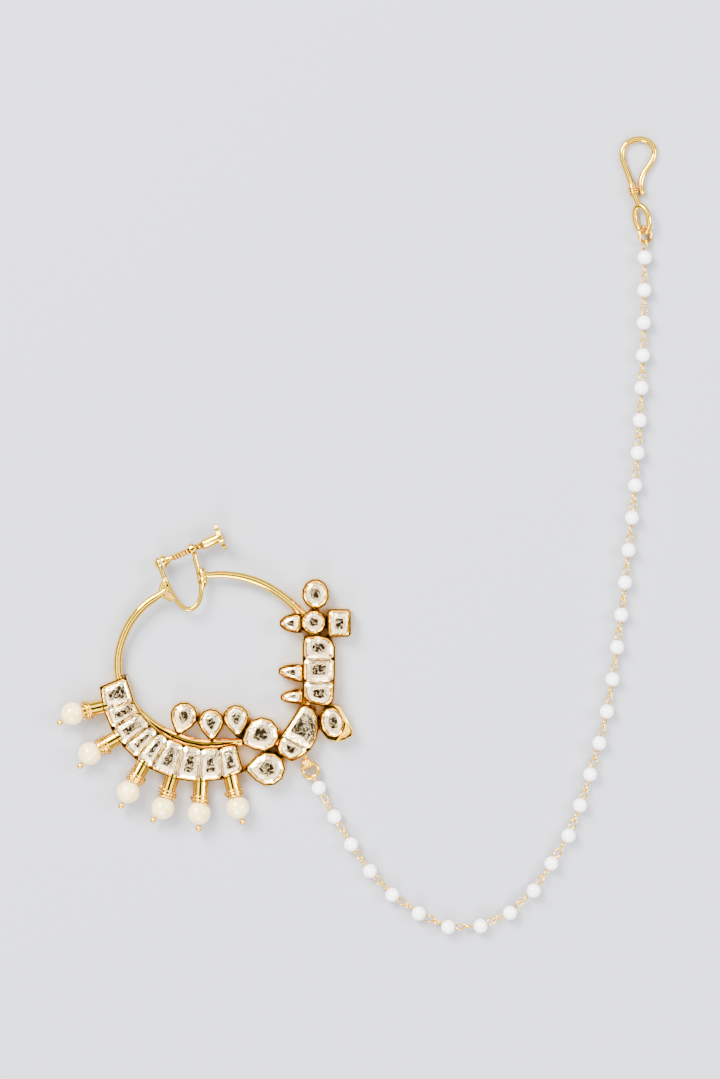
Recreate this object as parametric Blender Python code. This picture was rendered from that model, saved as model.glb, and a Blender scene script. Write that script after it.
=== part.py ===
"""Nath: a hoop nose ring set with foiled glass, with pearl drops, a screw clip and a bead chain.

Metres, +Z up.  The jewel lies face up on its flat backs at z = 0, and the origin is the middle
of its footprint.  In the tables x and y are shares of NATH_RADIUS from the hoop's middle, and
angles are degrees from +X towards +Y.
"""
import math

import bmesh
import bpy
from mathutils import Matrix, Vector

# Hoop and settings
NATH_RADIUS = 0.0215
HOOP_WIRE = 0.0018
RIM_HEIGHT = 0.0035
RIM_WALL = 0.00028
SEAT_HEIGHT = 0.0020
BASE_FLARE = 0.0003
DIVISION_GAP = 0.0003

# Stones
STONE_GAP = 0.00012
REST_GAP = 0.0003
STONE_RISE = 0.0002
CROWN_HEIGHT = 0.0006
TABLE_SHARE = 0.66
CORNER_CUT = 0.0006
CORNER_SHARE = 0.4
SHARP_CORNER = math.radians(135)

# Pearl drops
TUBE_DIAMETER = 0.0033
TUBE_LENGTH = 0.0047
TUBE_HEIGHT = 0.00180
CUP_WALL = 0.0003
CUP_DEPTH = 0.0016
TUBE_SINK = 0.0002
PEARL_DIAMETER = 0.0050
PIN_WIRE = 0.0004
PIN_BALL = 0.0014
PIN_REACH = 0.0009
PIN_CLEARANCE = 0.0001
WRAP_WIRE = 0.00034
WRAP_PITCH = 0.00072
WRAP_TURNS = 2.5
WRAP_CLEARANCE = 0.0001
WRAP_SETBACK = 0.0004

# Screw clip
CLIP_SPAN = 0.00737
CLIP_WIRE = 0.00115
CLIP_AIM = 23.1
GUSSET_SHARE = 0.8
BULB_SHARE = 0.95
BULB_LENGTH = 0.0042
BULB_PLACE = 0.55
BULB_DROP = 0.0006
BULB_TURN = -82.0
PAD_DIAMETER = 0.0029
PAD_THICKNESS = 0.0009
PAD_BACK = 0.2
PAD_SHOULDER = 0.42
PAD_HUB = 0.0019
PAD_HUB_LENGTH = 0.0007
SCREW_DIAMETER = 0.0016
SCREW_LENGTH = 0.0084
THREAD_PITCH = 0.0007
THREAD_DEPTH = 0.00018
SCREW_CLEARANCE = 0.00015
TIP_DIAMETER = 0.0007
COLLAR_DIAMETER = 0.0029
COLLAR_LENGTH = 0.0011
SLEEVE_DIAMETER = 0.0022
SLEEVE_LENGTH = 0.0036
THUMB_DIAMETER = 0.0058
THUMB_THICKNESS = 0.0008
THUMB_TEETH = 14
THUMB_TOOTH = 0.00012

# Bead chain and its rings
BEAD_COUNT = 30
BEAD_DIAMETER = 0.0031
BEAD_PITCH = 0.00701
EYE_WIRE = 0.0004
LINK_WIRE = 0.0008
EYE_WIDTH = 0.0017
EYE_SINK = 0.00012
LINK_GAP = 0.00015
END_REACH = 0.0026
HOOK_END_REACH = 0.0032
FRAME_RING = 0.0042
FRAME_RING_WIRE = 0.00096
LOOP_WIRE = 0.0006
LOOP_STEM_WIRE = 0.0007
HOOK_RING = 0.0042
HOOK_RING_WIRE = 0.00075
HOOK_RING_ROLL = 38.0

# Hook
HOOK_REACH = 0.0201
HOOK_WIRE = 0.0013
HOOK_EYE_LENGTH = 0.0058
HOOK_EYE_WIDTH = 0.0033
HOOK_EYE_LEAN = 13.0
HOOK_EYE_ROLL = -35.0
HOOK_WRAP_WIRE = 0.0005
HOOK_WRAP_TURNS = 3
HOOK_WRAP_SINK = 0.4
HOOK_WRAP_SPACING = 1.3
HOOK_WRAP_START = 0.35
HOOK_END_SHARE = 1.06
EYE_BULGE = 0.25
SURFACE_GAP = 0.00003

# The hoop from the clip's left leg round to its right leg: x, y, lift towards the clip
HOOP_ROUTE = (
    (-0.487, 0.700, 1.00), (-0.627, 0.605, 0.95), (-0.757, 0.463, 0.85), (-0.852, 0.288, 0.70),
    (-0.905, 0.098, 0.50), (-0.909, -0.077, 0.30), (-0.872, -0.232, 0.12), (-0.792, -0.377, 0.00),
    (-0.672, -0.502, 0.00), (-0.525, -0.622, 0.00), (-0.345, -0.715, 0.00), (-0.117, -0.782, 0.00),
    (0.093, -0.787, 0.00), (0.313, -0.780, 0.00), (0.533, -0.757, 0.00), (0.683, -0.782, 0.00),
    (0.793, -0.752, 0.00), (0.893, -0.592, 0.00), (0.963, -0.412, 0.00), (1.033, -0.272, 0.00),
    (1.083, -0.052, 0.00), (1.083, 0.178, 0.00), (1.033, 0.388, 0.05), (0.903, 0.533, 0.25),
    (0.743, 0.678, 0.45), (0.553, 0.798, 0.65), (0.343, 0.872, 0.82), (0.133, 0.900, 0.95),
    (-0.017, 0.894, 1.00),
)

# The band of nine stones: centre x, centre y, radius of its inner and outer rims
BAND_INNER = (0.000, 0.000, 0.833)
BAND_OUTER = (-0.094, -0.179, 0.998)
# Each edge between two stones: angle on the inner rim, angle on the outer rim
BAND_EDGES = (
    (188.0, 182.5), (206.5, 195.4), (214.7, 207.9), (226.2, 219.7), (233.6, 229.9),
    (241.6, 240.4), (252.7, 255.6), (264.6, 270.0), (277.1, 283.4), (289.0, 296.6),
)

# Pointed settings: name, centre x, centre y, radius, tip's reach over the radius, tip's angle
POINTED = (
    ("drop_stone_1", -0.247, -0.512, 0.137, 1.60, 251.6),
    ("drop_stone_2", 0.023, -0.572, 0.130, 1.62, 272.7),
    ("drop_stone_3", 0.273, -0.532, 0.130, 1.62, 275.4),
    ("pear_stone_1", 0.533, -0.697, 0.173, 1.34, 203.2),
    ("pear_stone_2", 0.593, -1.042, 0.172, 1.40, 180.0),
)

# Leaf settings, half ovals cut straight where they meet the bigger trays: name, centre x,
# centre y, half width, half length, turn, the cut's x
LEAVES = (
    ("leaf_stone_1", 0.900, 0.413, 0.195, 0.100, 0.0, 0.925),
    ("leaf_stone_2", 0.930, -0.087, 0.240, 0.090, -6.0, 0.945),
    ("leaf_stone_3", 0.930, -0.317, 0.220, 0.075, 3.0, 0.945),
)

# Oval settings: name, centre x, centre y, half width, half length
OVALS = (
    ("round_stone", 1.048, 0.423, 0.127, 0.127),
    ("oval_stone", 1.068, 0.706, 0.135, 0.149),
)
# Square setting: name, centre x, centre y, half width, half length
SQUARE = ("square_stone", 1.303, 0.415, 0.117, 0.138)

# Outlines drawn round the bigger trays
SIDE_OUTLINE = (
    (0.953, 0.278), (1.093, 0.298), (1.223, 0.263), (1.263, 0.178), (1.263, -0.092),
    (1.248, -0.342), (1.223, -0.402), (1.133, -0.417), (1.003, -0.382), (0.943, -0.327),
    (0.938, -0.022), (0.938, 0.178),
)
SIDE_CUTS = (((0.9, 0.058), (1.3, 0.058)), ((0.9, -0.172), (1.3, -0.172)))
CORNER_OUTLINE = (
    (0.913, -0.417), (0.973, -0.397), (1.043, -0.442), (1.088, -0.522), (1.098, -0.622),
    (1.078, -0.742), (1.023, -0.842), (0.943, -0.912), (0.833, -0.972), (0.743, -0.922),
    (0.673, -0.862), (0.723, -0.702), (0.813, -0.572),
)
CORNER_CUTS = (((0.753, -0.722), (1.003, -0.842)),)
PAISLEY_OUTLINE = (
    (1.103, -0.572), (1.118, -0.492), (1.168, -0.432), (1.243, -0.407), (1.313, -0.422),
    (1.353, -0.502), (1.393, -0.582), (1.443, -0.667), (1.423, -0.712), (1.353, -0.757),
    (1.273, -0.772), (1.183, -0.742), (1.123, -0.662),
)
# The paisley's stone: centre x, centre y, half width, half length, turn
PAISLEY_STONE = (1.236, -0.579, 0.112, 0.149, 12.0)

# Pearl drops: angle on the band's outer rim, tube's angle, pearl's angle
DROPS = (
    (194.0, 193.4, 215.4), (214.0, 210.0, 232.0), (235.5, 241.5, 243.4),
    (253.9, 253.3, 231.3), (270.8, 267.0, 268.5), (288.2, 283.5, 289.0),
)

# Clip's bow from the fixed pad to the collar: along and across the screw, shares of CLIP_SPAN
CLIP_PLACE = (-0.477, 1.018)
BOW_ROUTE = (
    (-0.08, -0.01), (-0.08, -0.19), (-0.08, -0.47), (-0.07, -0.76), (-0.05, -1.01),
    (0.00, -1.25), (0.08, -1.44), (0.19, -1.56), (0.34, -1.59), (0.52, -1.52),
    (0.67, -1.36), (0.79, -1.13), (0.85, -0.90), (0.90, -0.67), (0.94, -0.43), (0.97, -0.26),
)
BOW_END_SHARE = 0.78
LEFT_LEG = 3
RIGHT_LEG = 13

# The bead chain's route as it lies, from the frame's ring to the hook's ring, in metres
CHAIN_CENTRE = (1.013, -1.062)
LOOP_FOOT = (0.923, -0.869)
CHAIN_ROUTE = (
    (0.0000, 0.0000), (0.0019, -0.0039), (0.0055, -0.0105), (0.0090, -0.0163),
    (0.0129, -0.0217), (0.0180, -0.0271), (0.0237, -0.0310), (0.0299, -0.0338),
    (0.0367, -0.0335), (0.0430, -0.0307), (0.0482, -0.0258), (0.0518, -0.0202),
    (0.0556, -0.0141), (0.0602, -0.0011), (0.0636, 0.0114), (0.0660, 0.0261),
    (0.0684, 0.0462), (0.0704, 0.0671), (0.0716, 0.0889), (0.0719, 0.1034), (0.0721, 0.1168),
)

# The hook's wire from its free end towards the eye: x, y, shares of HOOK_REACH, then its lift
HOOK_ROUTE = (
    (-0.024, 0.425, 0.25), (-0.041, 0.499, 0.18), (-0.034, 0.574, 0.12), (-0.002, 0.649, 0.07),
    (0.048, 0.719, 0.04), (0.090, 0.794, 0.00), (0.102, 0.868, 0.00), (0.079, 0.935, 0.00),
    (0.026, 0.982, 0.00), (-0.051, 1.000, 0.00), (-0.133, 0.987, 0.00), (-0.201, 0.943, 0.00),
    (-0.240, 0.874, 0.00), (-0.237, 0.794, 0.02), (-0.210, 0.703, 0.08), (-0.173, 0.606, 0.20),
    (-0.144, 0.510, 0.45), (-0.120, 0.419, 0.80),
)
HOOK_WRAP_PLACE = 16

WIRE_SIDES = 8
FINE_SIDES = 5
ROUND_SIDES = 12
SMOOTH_ANGLE = math.radians(38)
ON_LINE = 1e-8


def material(name, colour, roughness, metallic):
    """A plain finish."""
    finish = bpy.data.materials.new(name)
    finish.use_nodes = True
    shader = finish.node_tree.nodes["Principled BSDF"]
    shader.inputs["Base Color"].default_value = (*colour, 1.0)
    shader.inputs["Roughness"].default_value = roughness
    shader.inputs["Metallic"].default_value = metallic
    return finish


def gold():
    return material("polished_gold", (0.86, 0.60, 0.24), 0.18, 1.0)


def foiled_glass():
    return material("foiled_glass", (0.86, 0.82, 0.72), 0.12, 0.0)


def cream_pearl():
    return material("cream_pearl", (0.90, 0.84, 0.72), 0.25, 0.0)


def white_pearl():
    return material("white_pearl", (0.93, 0.92, 0.90), 0.25, 0.0)


def add_object(name, mesh, finish, root, place=None):
    """Puts a mesh in the scene under its own name."""
    piece = bpy.data.objects.new(name, mesh)
    bpy.context.scene.collection.objects.link(piece)
    piece.parent = root
    if finish is not None:
        mesh.materials.clear()
        mesh.materials.append(finish)
    if place is not None:
        piece.matrix_local = place
    mesh.shade_smooth()
    mesh.set_sharp_from_angle(angle=SMOOTH_ANGLE)
    return piece


def loft(name, loops, ring=False):
    """A closed mesh through loops of equally many points; a ring joins its last loop to its first."""
    shape = bmesh.new()
    rows = [[shape.verts.new(point) for point in loop] for loop in loops]
    count = len(rows[0])
    pairs = list(zip(rows, rows[1:]))
    if ring:
        pairs.append((rows[-1], rows[0]))
    else:
        shape.faces.new(list(reversed(rows[0])))
        shape.faces.new(rows[-1])
    for low, high in pairs:
        for side in range(count):
            after = (side + 1) % count
            shape.faces.new((low[side], low[after], high[after], high[side]))
    bmesh.ops.remove_doubles(shape, verts=shape.verts, dist=1e-8)
    bmesh.ops.recalc_face_normals(shape, faces=shape.faces)
    mesh = bpy.data.meshes.new(name)
    shape.to_mesh(mesh)
    shape.free()
    return mesh


def smooth_route(points, step):
    """Points about a step apart on a smooth curve through the given points."""
    points = [Vector(point) for point in points]
    route = [points[0]]
    for index in range(len(points) - 1):
        before = points[max(index - 1, 0)]
        start = points[index]
        end = points[index + 1]
        after = points[min(index + 2, len(points) - 1)]
        pieces = max(1, round((end - start).length / step))
        for piece in range(1, pieces + 1):
            t = piece / pieces
            route.append(0.5 * (2 * start + (end - before) * t
                                + (2 * before - 5 * start + 4 * end - after) * t ** 2
                                + (3 * start - before - 3 * end + after) * t ** 3))
    return route


def tube(name, route, radius, sides, ring=False, upright=Vector((0, 0, 1))):
    """A wire of round section along a route, carrying its section along without twist."""
    route = [Vector(point) for point in route]
    count = len(route)
    side_way = None
    loops = []
    for index, point in enumerate(route):
        if ring:
            along = route[(index + 1) % count] - route[index - 1]
        else:
            along = route[min(index + 1, count - 1)] - route[max(index - 1, 0)]
        along.normalize()
        if side_way is None or ring:
            side_way = along.cross(upright)
        side_way = (side_way - along * side_way.dot(along)).normalized()
        over = side_way.cross(along)
        turns = [2 * math.pi * (corner + 0.5) / sides for corner in range(sides)]
        loops.append([point + (side_way * math.cos(turn) + over * math.sin(turn)) * radius
                      for turn in turns])
    return loft(name, loops, ring)


def turned(name, profile, sides, ring=False):
    """A shape turned about local X from rows of place along X and radius."""
    loops = []
    for along, radius in profile:
        turns = [2 * math.pi * (corner + 0.5) / sides for corner in range(sides)]
        loops.append([Vector((along, radius * math.cos(turn), radius * math.sin(turn)))
                      for turn in turns])
    return loft(name, loops, ring)


def balls(name, centres, radius):
    """Round balls about the given centres, in one mesh."""
    shape = bmesh.new()
    for centre in centres:
        bmesh.ops.create_icosphere(shape, subdivisions=2, radius=radius,
                                   matrix=Matrix.Translation(centre))
    mesh = bpy.data.meshes.new(name)
    shape.to_mesh(mesh)
    shape.free()
    return mesh


def fuse(name, meshes, finish, root):
    """One body from overlapping closed meshes, joined by an exact union."""
    helpers = [add_object(name + "_part_%d" % number, mesh, None, None)
               for number, mesh in enumerate(meshes)]
    base = helpers[0]
    group = bpy.data.collections.new(name + "_parts")
    for helper in helpers[1:]:
        group.objects.link(helper)
    union = base.modifiers.new("union", "BOOLEAN")
    union.operation = "UNION"
    union.operand_type = "COLLECTION"
    union.collection = group
    graph = bpy.context.evaluated_depsgraph_get()
    graph.update()
    mesh = bpy.data.meshes.new_from_object(base.evaluated_get(graph))
    mesh.name = name
    for helper in helpers:
        bpy.data.objects.remove(helper)
    bpy.data.collections.remove(group)
    return add_object(name, mesh, finish, root)


def plan(x, y):
    """A point of the tables in metres."""
    return Vector((x * NATH_RADIUS, y * NATH_RADIUS, 0))


def heading(degrees):
    """The unit vector at an angle in the plan."""
    return Vector((math.cos(math.radians(degrees)), math.sin(math.radians(degrees)), 0))


def at_height(outline, height):
    """An outline lifted to a height."""
    return [Vector((point.x, point.y, height)) for point in outline]


def offset(outline, gaps):
    """An outline moved inwards by a gap for each edge, the edge after each point."""
    count = len(outline)
    moved = []
    for index in range(count):
        here = outline[index]
        before = (here - outline[index - 1]).normalized()
        after = (outline[(index + 1) % count] - here).normalized()
        inward_before = Vector((-before.y, before.x, 0))
        inward_after = Vector((-after.y, after.x, 0))
        turn = before.x * after.y - before.y * after.x
        if abs(turn) < 0.02:
            moved.append(here + inward_after * gaps[index])
            continue
        start = here + inward_before * gaps[index - 1]
        across = (here + inward_after * gaps[index]) - start
        moved.append(start + before * ((across.x * after.y - across.y * after.x) / turn))
    return moved


def inset(outline, gap):
    """An outline moved inwards by one gap all round; a negative gap moves it out."""
    return offset(outline, [gap] * len(outline))


def keep_left(outline, gaps, start, end, gap):
    """The part of an outline left of a line, with the gap that its cut edge keeps."""
    way = (end - start).normalized()
    sides = [way.x * (point - start).y - way.y * (point - start).x for point in outline]
    kept = []
    kept_gaps = []
    for index, here in enumerate(outline):
        following = (index + 1) % len(outline)
        here_side = sides[index]
        after_side = sides[following]
        if here_side >= -ON_LINE:
            leaves = here_side <= ON_LINE and after_side < -ON_LINE
            kept.append(here)
            kept_gaps.append(gap if leaves else gaps[index])
        if min(here_side, after_side) < -ON_LINE and max(here_side, after_side) > ON_LINE:
            kept.append(here.lerp(outline[following], here_side / (here_side - after_side)))
            kept_gaps.append(gap if here_side > 0 else gaps[index])
    return kept, kept_gaps


def cut_corners(outline, cut):
    """An outline whose sharp corners are cut off."""
    count = len(outline)
    blunt = []
    for index in range(count):
        here = outline[index]
        before = outline[index - 1] - here
        after = outline[(index + 1) % count] - here
        if before.angle(after) < SHARP_CORNER:
            blunt.append(here + before.normalized() * min(cut, before.length * CORNER_SHARE))
            blunt.append(here + after.normalized() * min(cut, after.length * CORNER_SHARE))
        else:
            blunt.append(here)
    return blunt


def middle(outline):
    """The mean of an outline's points."""
    return sum(outline, Vector((0, 0, 0))) / len(outline)


def pointed_outline(x, y, radius, reach, tip_angle):
    """A round head that runs to a point."""
    centre = plan(x, y)
    size = radius * NATH_RADIUS
    leave = math.degrees(math.acos(1 / reach))
    steps = 8
    sweep = 360 - 2 * leave
    head = [centre + heading(tip_angle + leave + sweep * step / steps) * size
            for step in range(steps + 1)]
    return head + [centre + heading(tip_angle) * size * reach]


def cut_back(outline, edge):
    """The part of an outline on the -X side of an upright line, without its short last edges."""
    kept, gaps = keep_left(outline, [0.0] * len(outline), plan(edge, -1), plan(edge, 1), 0.0)
    back = plan(edge, 0).x
    shortest = 2 * (RIM_WALL + STONE_GAP)
    return [point for point in kept if point.x > back - ON_LINE or point.x < back - shortest]


def oval_outline(x, y, half_width, half_length, turn=0.0):
    """An ellipse in twelve points."""
    spin = Matrix.Rotation(math.radians(turn), 3, "Z")
    points = []
    for step in range(ROUND_SIDES):
        angle = 2 * math.pi * (step + 0.5) / ROUND_SIDES
        local = plan(half_width * math.cos(angle), half_length * math.sin(angle))
        points.append(plan(x, y) + spin @ local)
    return points


def rim_point(rim, angle):
    """A point on one of the band's rims."""
    return plan(rim[0], rim[1]) + heading(angle) * rim[2] * NATH_RADIUS


def band_outline():
    """The band's outline, along its outer rim and back along its inner one."""
    outer = [rim_point(BAND_OUTER, edge[1]) for edge in BAND_EDGES]
    inner = [rim_point(BAND_INNER, edge[0]) for edge in BAND_EDGES]
    return outer + inner[::-1]


def band_cuts():
    """The lines between the band's stones."""
    return [(rim_point(BAND_INNER, edge[0]), rim_point(BAND_OUTER, edge[1]))
            for edge in BAND_EDGES[1:-1]]


def plan_cuts(cuts):
    """Cut lines of the tables in metres."""
    return [(plan(*start), plan(*end)) for start, end in cuts]


def slices(outline, cuts):
    """The stones' outlines in a tray: what lies between one cut and the next, with its gaps."""
    wall = RIM_WALL + STONE_GAP
    shapes = []
    for index in range(len(cuts) + 1):
        shape = list(outline)
        gaps = [wall] * len(shape)
        if index > 0:
            start, end = cuts[index - 1]
            shape, gaps = keep_left(shape, gaps, start, end, DIVISION_GAP / 2)
        if index < len(cuts):
            start, end = cuts[index]
            shape, gaps = keep_left(shape, gaps, end, start, DIVISION_GAP / 2)
        shapes.append(offset(shape, gaps))
    return shapes


def tray(name, outline, seat=None):
    """A tray: flared wall outside, upright wall inside and a floor that the stones rest over."""
    if seat is None:
        seat = inset(outline, RIM_WALL)
    lower = inset(outline, -BASE_FLARE)
    return loft(name, [
        at_height(lower, 0.0),
        at_height(outline, RIM_HEIGHT),
        at_height(seat, RIM_HEIGHT),
        at_height(seat, SEAT_HEIGHT),
    ])


def stone(name, outline, root):
    """A flat-backed cut stone: upright sides, a ring of crown facets and a table."""
    outline = cut_corners(outline, CORNER_CUT)
    centre = middle(outline)
    table = [centre.lerp(point, TABLE_SHARE) for point in outline]
    top = RIM_HEIGHT + STONE_RISE
    mesh = loft(name, [
        at_height(outline, SEAT_HEIGHT + REST_GAP),
        at_height(outline, top - CROWN_HEIGHT),
        at_height(table, top),
    ])
    piece = add_object(name, mesh, foiled_glass(), root)
    mesh.shade_flat()
    return piece


def drop_frames():
    """For each pearl drop: its tube's place, its pearl's place, both with X pointing outwards."""
    distance = TUBE_LENGTH + seat_distance()
    rise = PEARL_DIAMETER / 2 + SURFACE_GAP - TUBE_HEIGHT
    pitch = math.asin(rise / distance)
    frames = []
    for rim_angle, tube_angle, pearl_angle in DROPS:
        start = rim_point(BAND_OUTER, rim_angle) - heading(rim_angle) * TUBE_SINK
        start.z = TUBE_HEIGHT
        turn = Matrix.Rotation(math.radians(tube_angle), 4, "Z")
        tilt = Matrix.Rotation(-pitch, 4, "Y")
        tube_place = Matrix.Translation(start) @ turn @ tilt
        centre = tube_place @ Vector((distance, 0, 0))
        pearl_turn = Matrix.Rotation(math.radians(pearl_angle), 4, "Z")
        frames.append((tube_place, Matrix.Translation(centre) @ pearl_turn))
    return frames


def seat_distance():
    """From a tube's mouth to the centre of the pearl that sits in it."""
    mouth = TUBE_DIAMETER / 2 - CUP_WALL
    return math.sqrt((PEARL_DIAMETER / 2) ** 2 - mouth ** 2) + STONE_GAP


def drop_tube():
    """A tube with a cup in its end."""
    radius = TUBE_DIAMETER / 2
    mouth = radius - CUP_WALL
    return turned("tube", [
        (0.0, radius),
        (TUBE_LENGTH, radius),
        (TUBE_LENGTH, mouth),
        (TUBE_LENGTH - CUP_DEPTH, mouth),
    ], 10)


def pearl_mesh():
    """A drilled round pearl; its hole lies along X."""
    radius = PEARL_DIAMETER / 2
    hole = PIN_WIRE / 2 + PIN_CLEARANCE
    first = math.asin(hole / radius)
    bands = 6
    rows = []
    for band in range(bands + 1):
        angle = first + (math.pi - 2 * first) * band / bands
        rows.append((-radius * math.cos(angle), radius * math.sin(angle)))
    return turned("pearl", rows, ROUND_SIDES, ring=True)


def head_pin(name, tube_place, pearl_place, root):
    """The pin through a pearl: a ball below it, and its end inside the tube's cup."""
    radius = PEARL_DIAMETER / 2
    inside = tube_place @ Vector((TUBE_LENGTH - PIN_REACH, 0, 0))
    way = pearl_place.to_3x3() @ Vector((1, 0, 0))
    centre = pearl_place.translation
    ball_centre = centre + way * (radius + PIN_BALL / 2 + PIN_CLEARANCE)
    shank = tube("shank", [
        ball_centre, centre + way * radius, centre - way * radius,
        (centre - way * (radius + PIN_WIRE)), inside,
    ], PIN_WIRE / 2, 6)
    return fuse(name, [balls("ball", [ball_centre], PIN_BALL / 2), shank], gold(), root)


def wire_wrap_mesh():
    """A coil of fine wire round a drop's tube; its axis is X."""
    radius = TUBE_DIAMETER / 2 + WRAP_CLEARANCE + WRAP_WIRE / 2
    start = TUBE_LENGTH - WRAP_SETBACK - WRAP_PITCH * WRAP_TURNS
    steps = round(9 * WRAP_TURNS)
    route = []
    for step in range(steps + 1):
        angle = 2 * math.pi * WRAP_TURNS * step / steps
        along = start + WRAP_PITCH * WRAP_TURNS * step / steps
        bend = radius / math.cos(math.pi / 9)
        route.append(Vector((along, bend * math.cos(angle), bend * math.sin(angle))))
    return tube("wire_wrap", route, WRAP_WIRE / 2, FINE_SIDES, upright=Vector((1, 0, 0)))


def clip_height():
    """The screw's height: the thumb disc just clears the surface."""
    return THUMB_DIAMETER / 2 + SURFACE_GAP


def clip_place():
    """The screw's frame: X along the screw, the pads' meeting face at its origin."""
    start = plan(*CLIP_PLACE)
    start.z = clip_height()
    return Matrix.Translation(start) @ Matrix.Rotation(math.radians(CLIP_AIM), 4, "Z")


def bow_point(index):
    """A point of the clip's bow in the world."""
    along, across = BOW_ROUTE[index]
    return clip_place() @ Vector((along * CLIP_SPAN, across * CLIP_SPAN, 0))


def hoop():
    """The hoop's wire, bent round from one leg of the clip to the other under all the trays."""
    low = HOOP_WIRE / 2 + SURFACE_GAP
    high = clip_height()
    points = [bow_point(LEFT_LEG)]
    for x, y, lift in HOOP_ROUTE:
        point = plan(x, y)
        point.z = low + (high - low) * lift
        points.append(point)
    points.append(bow_point(RIGHT_LEG))
    return tube("hoop", smooth_route(points, HOOP_WIRE * 1.5), HOOP_WIRE / 2, WIRE_SIDES)


def clip_pieces():
    """The clip's bow, its fixed pad, the bored collar and the flares where the hoop joins."""
    place = clip_place()
    points = [bow_point(index) for index in range(len(BOW_ROUTE))]
    points.append(place @ Vector((CLIP_SPAN, -COLLAR_DIAMETER / 2 * BOW_END_SHARE, 0)))
    bow = tube("bow", smooth_route(points, CLIP_WIRE * 1.3), CLIP_WIRE / 2, 6)
    half = PAD_THICKNESS / 2
    fixed_pad = turned("fixed_pad", [
        (-PAD_THICKNESS - half, PAD_DIAMETER * PAD_BACK),
        (-PAD_THICKNESS, PAD_DIAMETER * PAD_SHOULDER),
        (-half, PAD_DIAMETER / 2), (0.0, PAD_DIAMETER / 2),
    ], ROUND_SIDES)
    bore = SCREW_DIAMETER / 2 + SCREW_CLEARANCE
    outer = COLLAR_DIAMETER / 2
    collar = turned("collar", [
        (CLIP_SPAN - COLLAR_LENGTH / 2, bore), (CLIP_SPAN - COLLAR_LENGTH / 2, outer),
        (CLIP_SPAN + COLLAR_LENGTH / 2, outer), (CLIP_SPAN + COLLAR_LENGTH / 2, bore),
    ], ROUND_SIDES, ring=True)
    for mesh in (fixed_pad, collar):
        mesh.transform(place)
    return [bow, fixed_pad, collar, left_gusset(), right_bulb()]


def left_gusset():
    """The hoop's left end, flared out flat to meet the clip's leg."""
    end = plan(HOOP_ROUTE[0][0], HOOP_ROUTE[0][1])
    end.z = clip_height()
    up_leg = bow_point(LEFT_LEG - 1)
    down_leg = bow_point(LEFT_LEG + 1)
    thick = Vector((0, 0, HOOP_WIRE * GUSSET_SHARE / 2))
    corners = [end, down_leg, up_leg]
    return loft("gusset", [[corner - thick for corner in corners],
                           [corner + thick for corner in corners]])


def right_bulb():
    """The bulb of solder at the hoop's right end."""
    end = plan(HOOP_ROUTE[-1][0], HOOP_ROUTE[-1][1])
    end.z = clip_height()
    centre = bow_point(RIGHT_LEG).lerp(end, BULB_PLACE)
    centre.y -= BULB_DROP
    swell = HOOP_WIRE * BULB_SHARE / 2
    half = BULB_LENGTH / 2
    round_off = math.sqrt(0.5)
    mesh = turned("bulb", [
        (-half, 0.0), (-half * round_off, swell * round_off), (0.0, swell),
        (half * round_off, swell * round_off), (half, 0.0),
    ], WIRE_SIDES)
    mesh.transform(Matrix.Translation(centre) @ Matrix.Rotation(math.radians(BULB_TURN), 4, "Z"))
    return mesh


def screw_pad(root):
    """The pad that the screw pushes: a disc with a socket for the screw's tip."""
    socket = TIP_DIAMETER / 2 + SCREW_CLEARANCE
    depth = PAD_HUB_LENGTH
    mesh = turned("pressure_pad", [
        (0.0, PAD_DIAMETER / 2), (PAD_THICKNESS, PAD_DIAMETER / 2), (PAD_THICKNESS, PAD_HUB / 2),
        (PAD_THICKNESS + depth, PAD_HUB / 2), (PAD_THICKNESS + depth, socket),
        (PAD_THICKNESS, socket),
    ], ROUND_SIDES)
    place = clip_place() @ Matrix.Translation(Vector((REST_GAP, 0, 0)))
    return add_object("pressure_pad", mesh, gold(), root, place)


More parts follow.
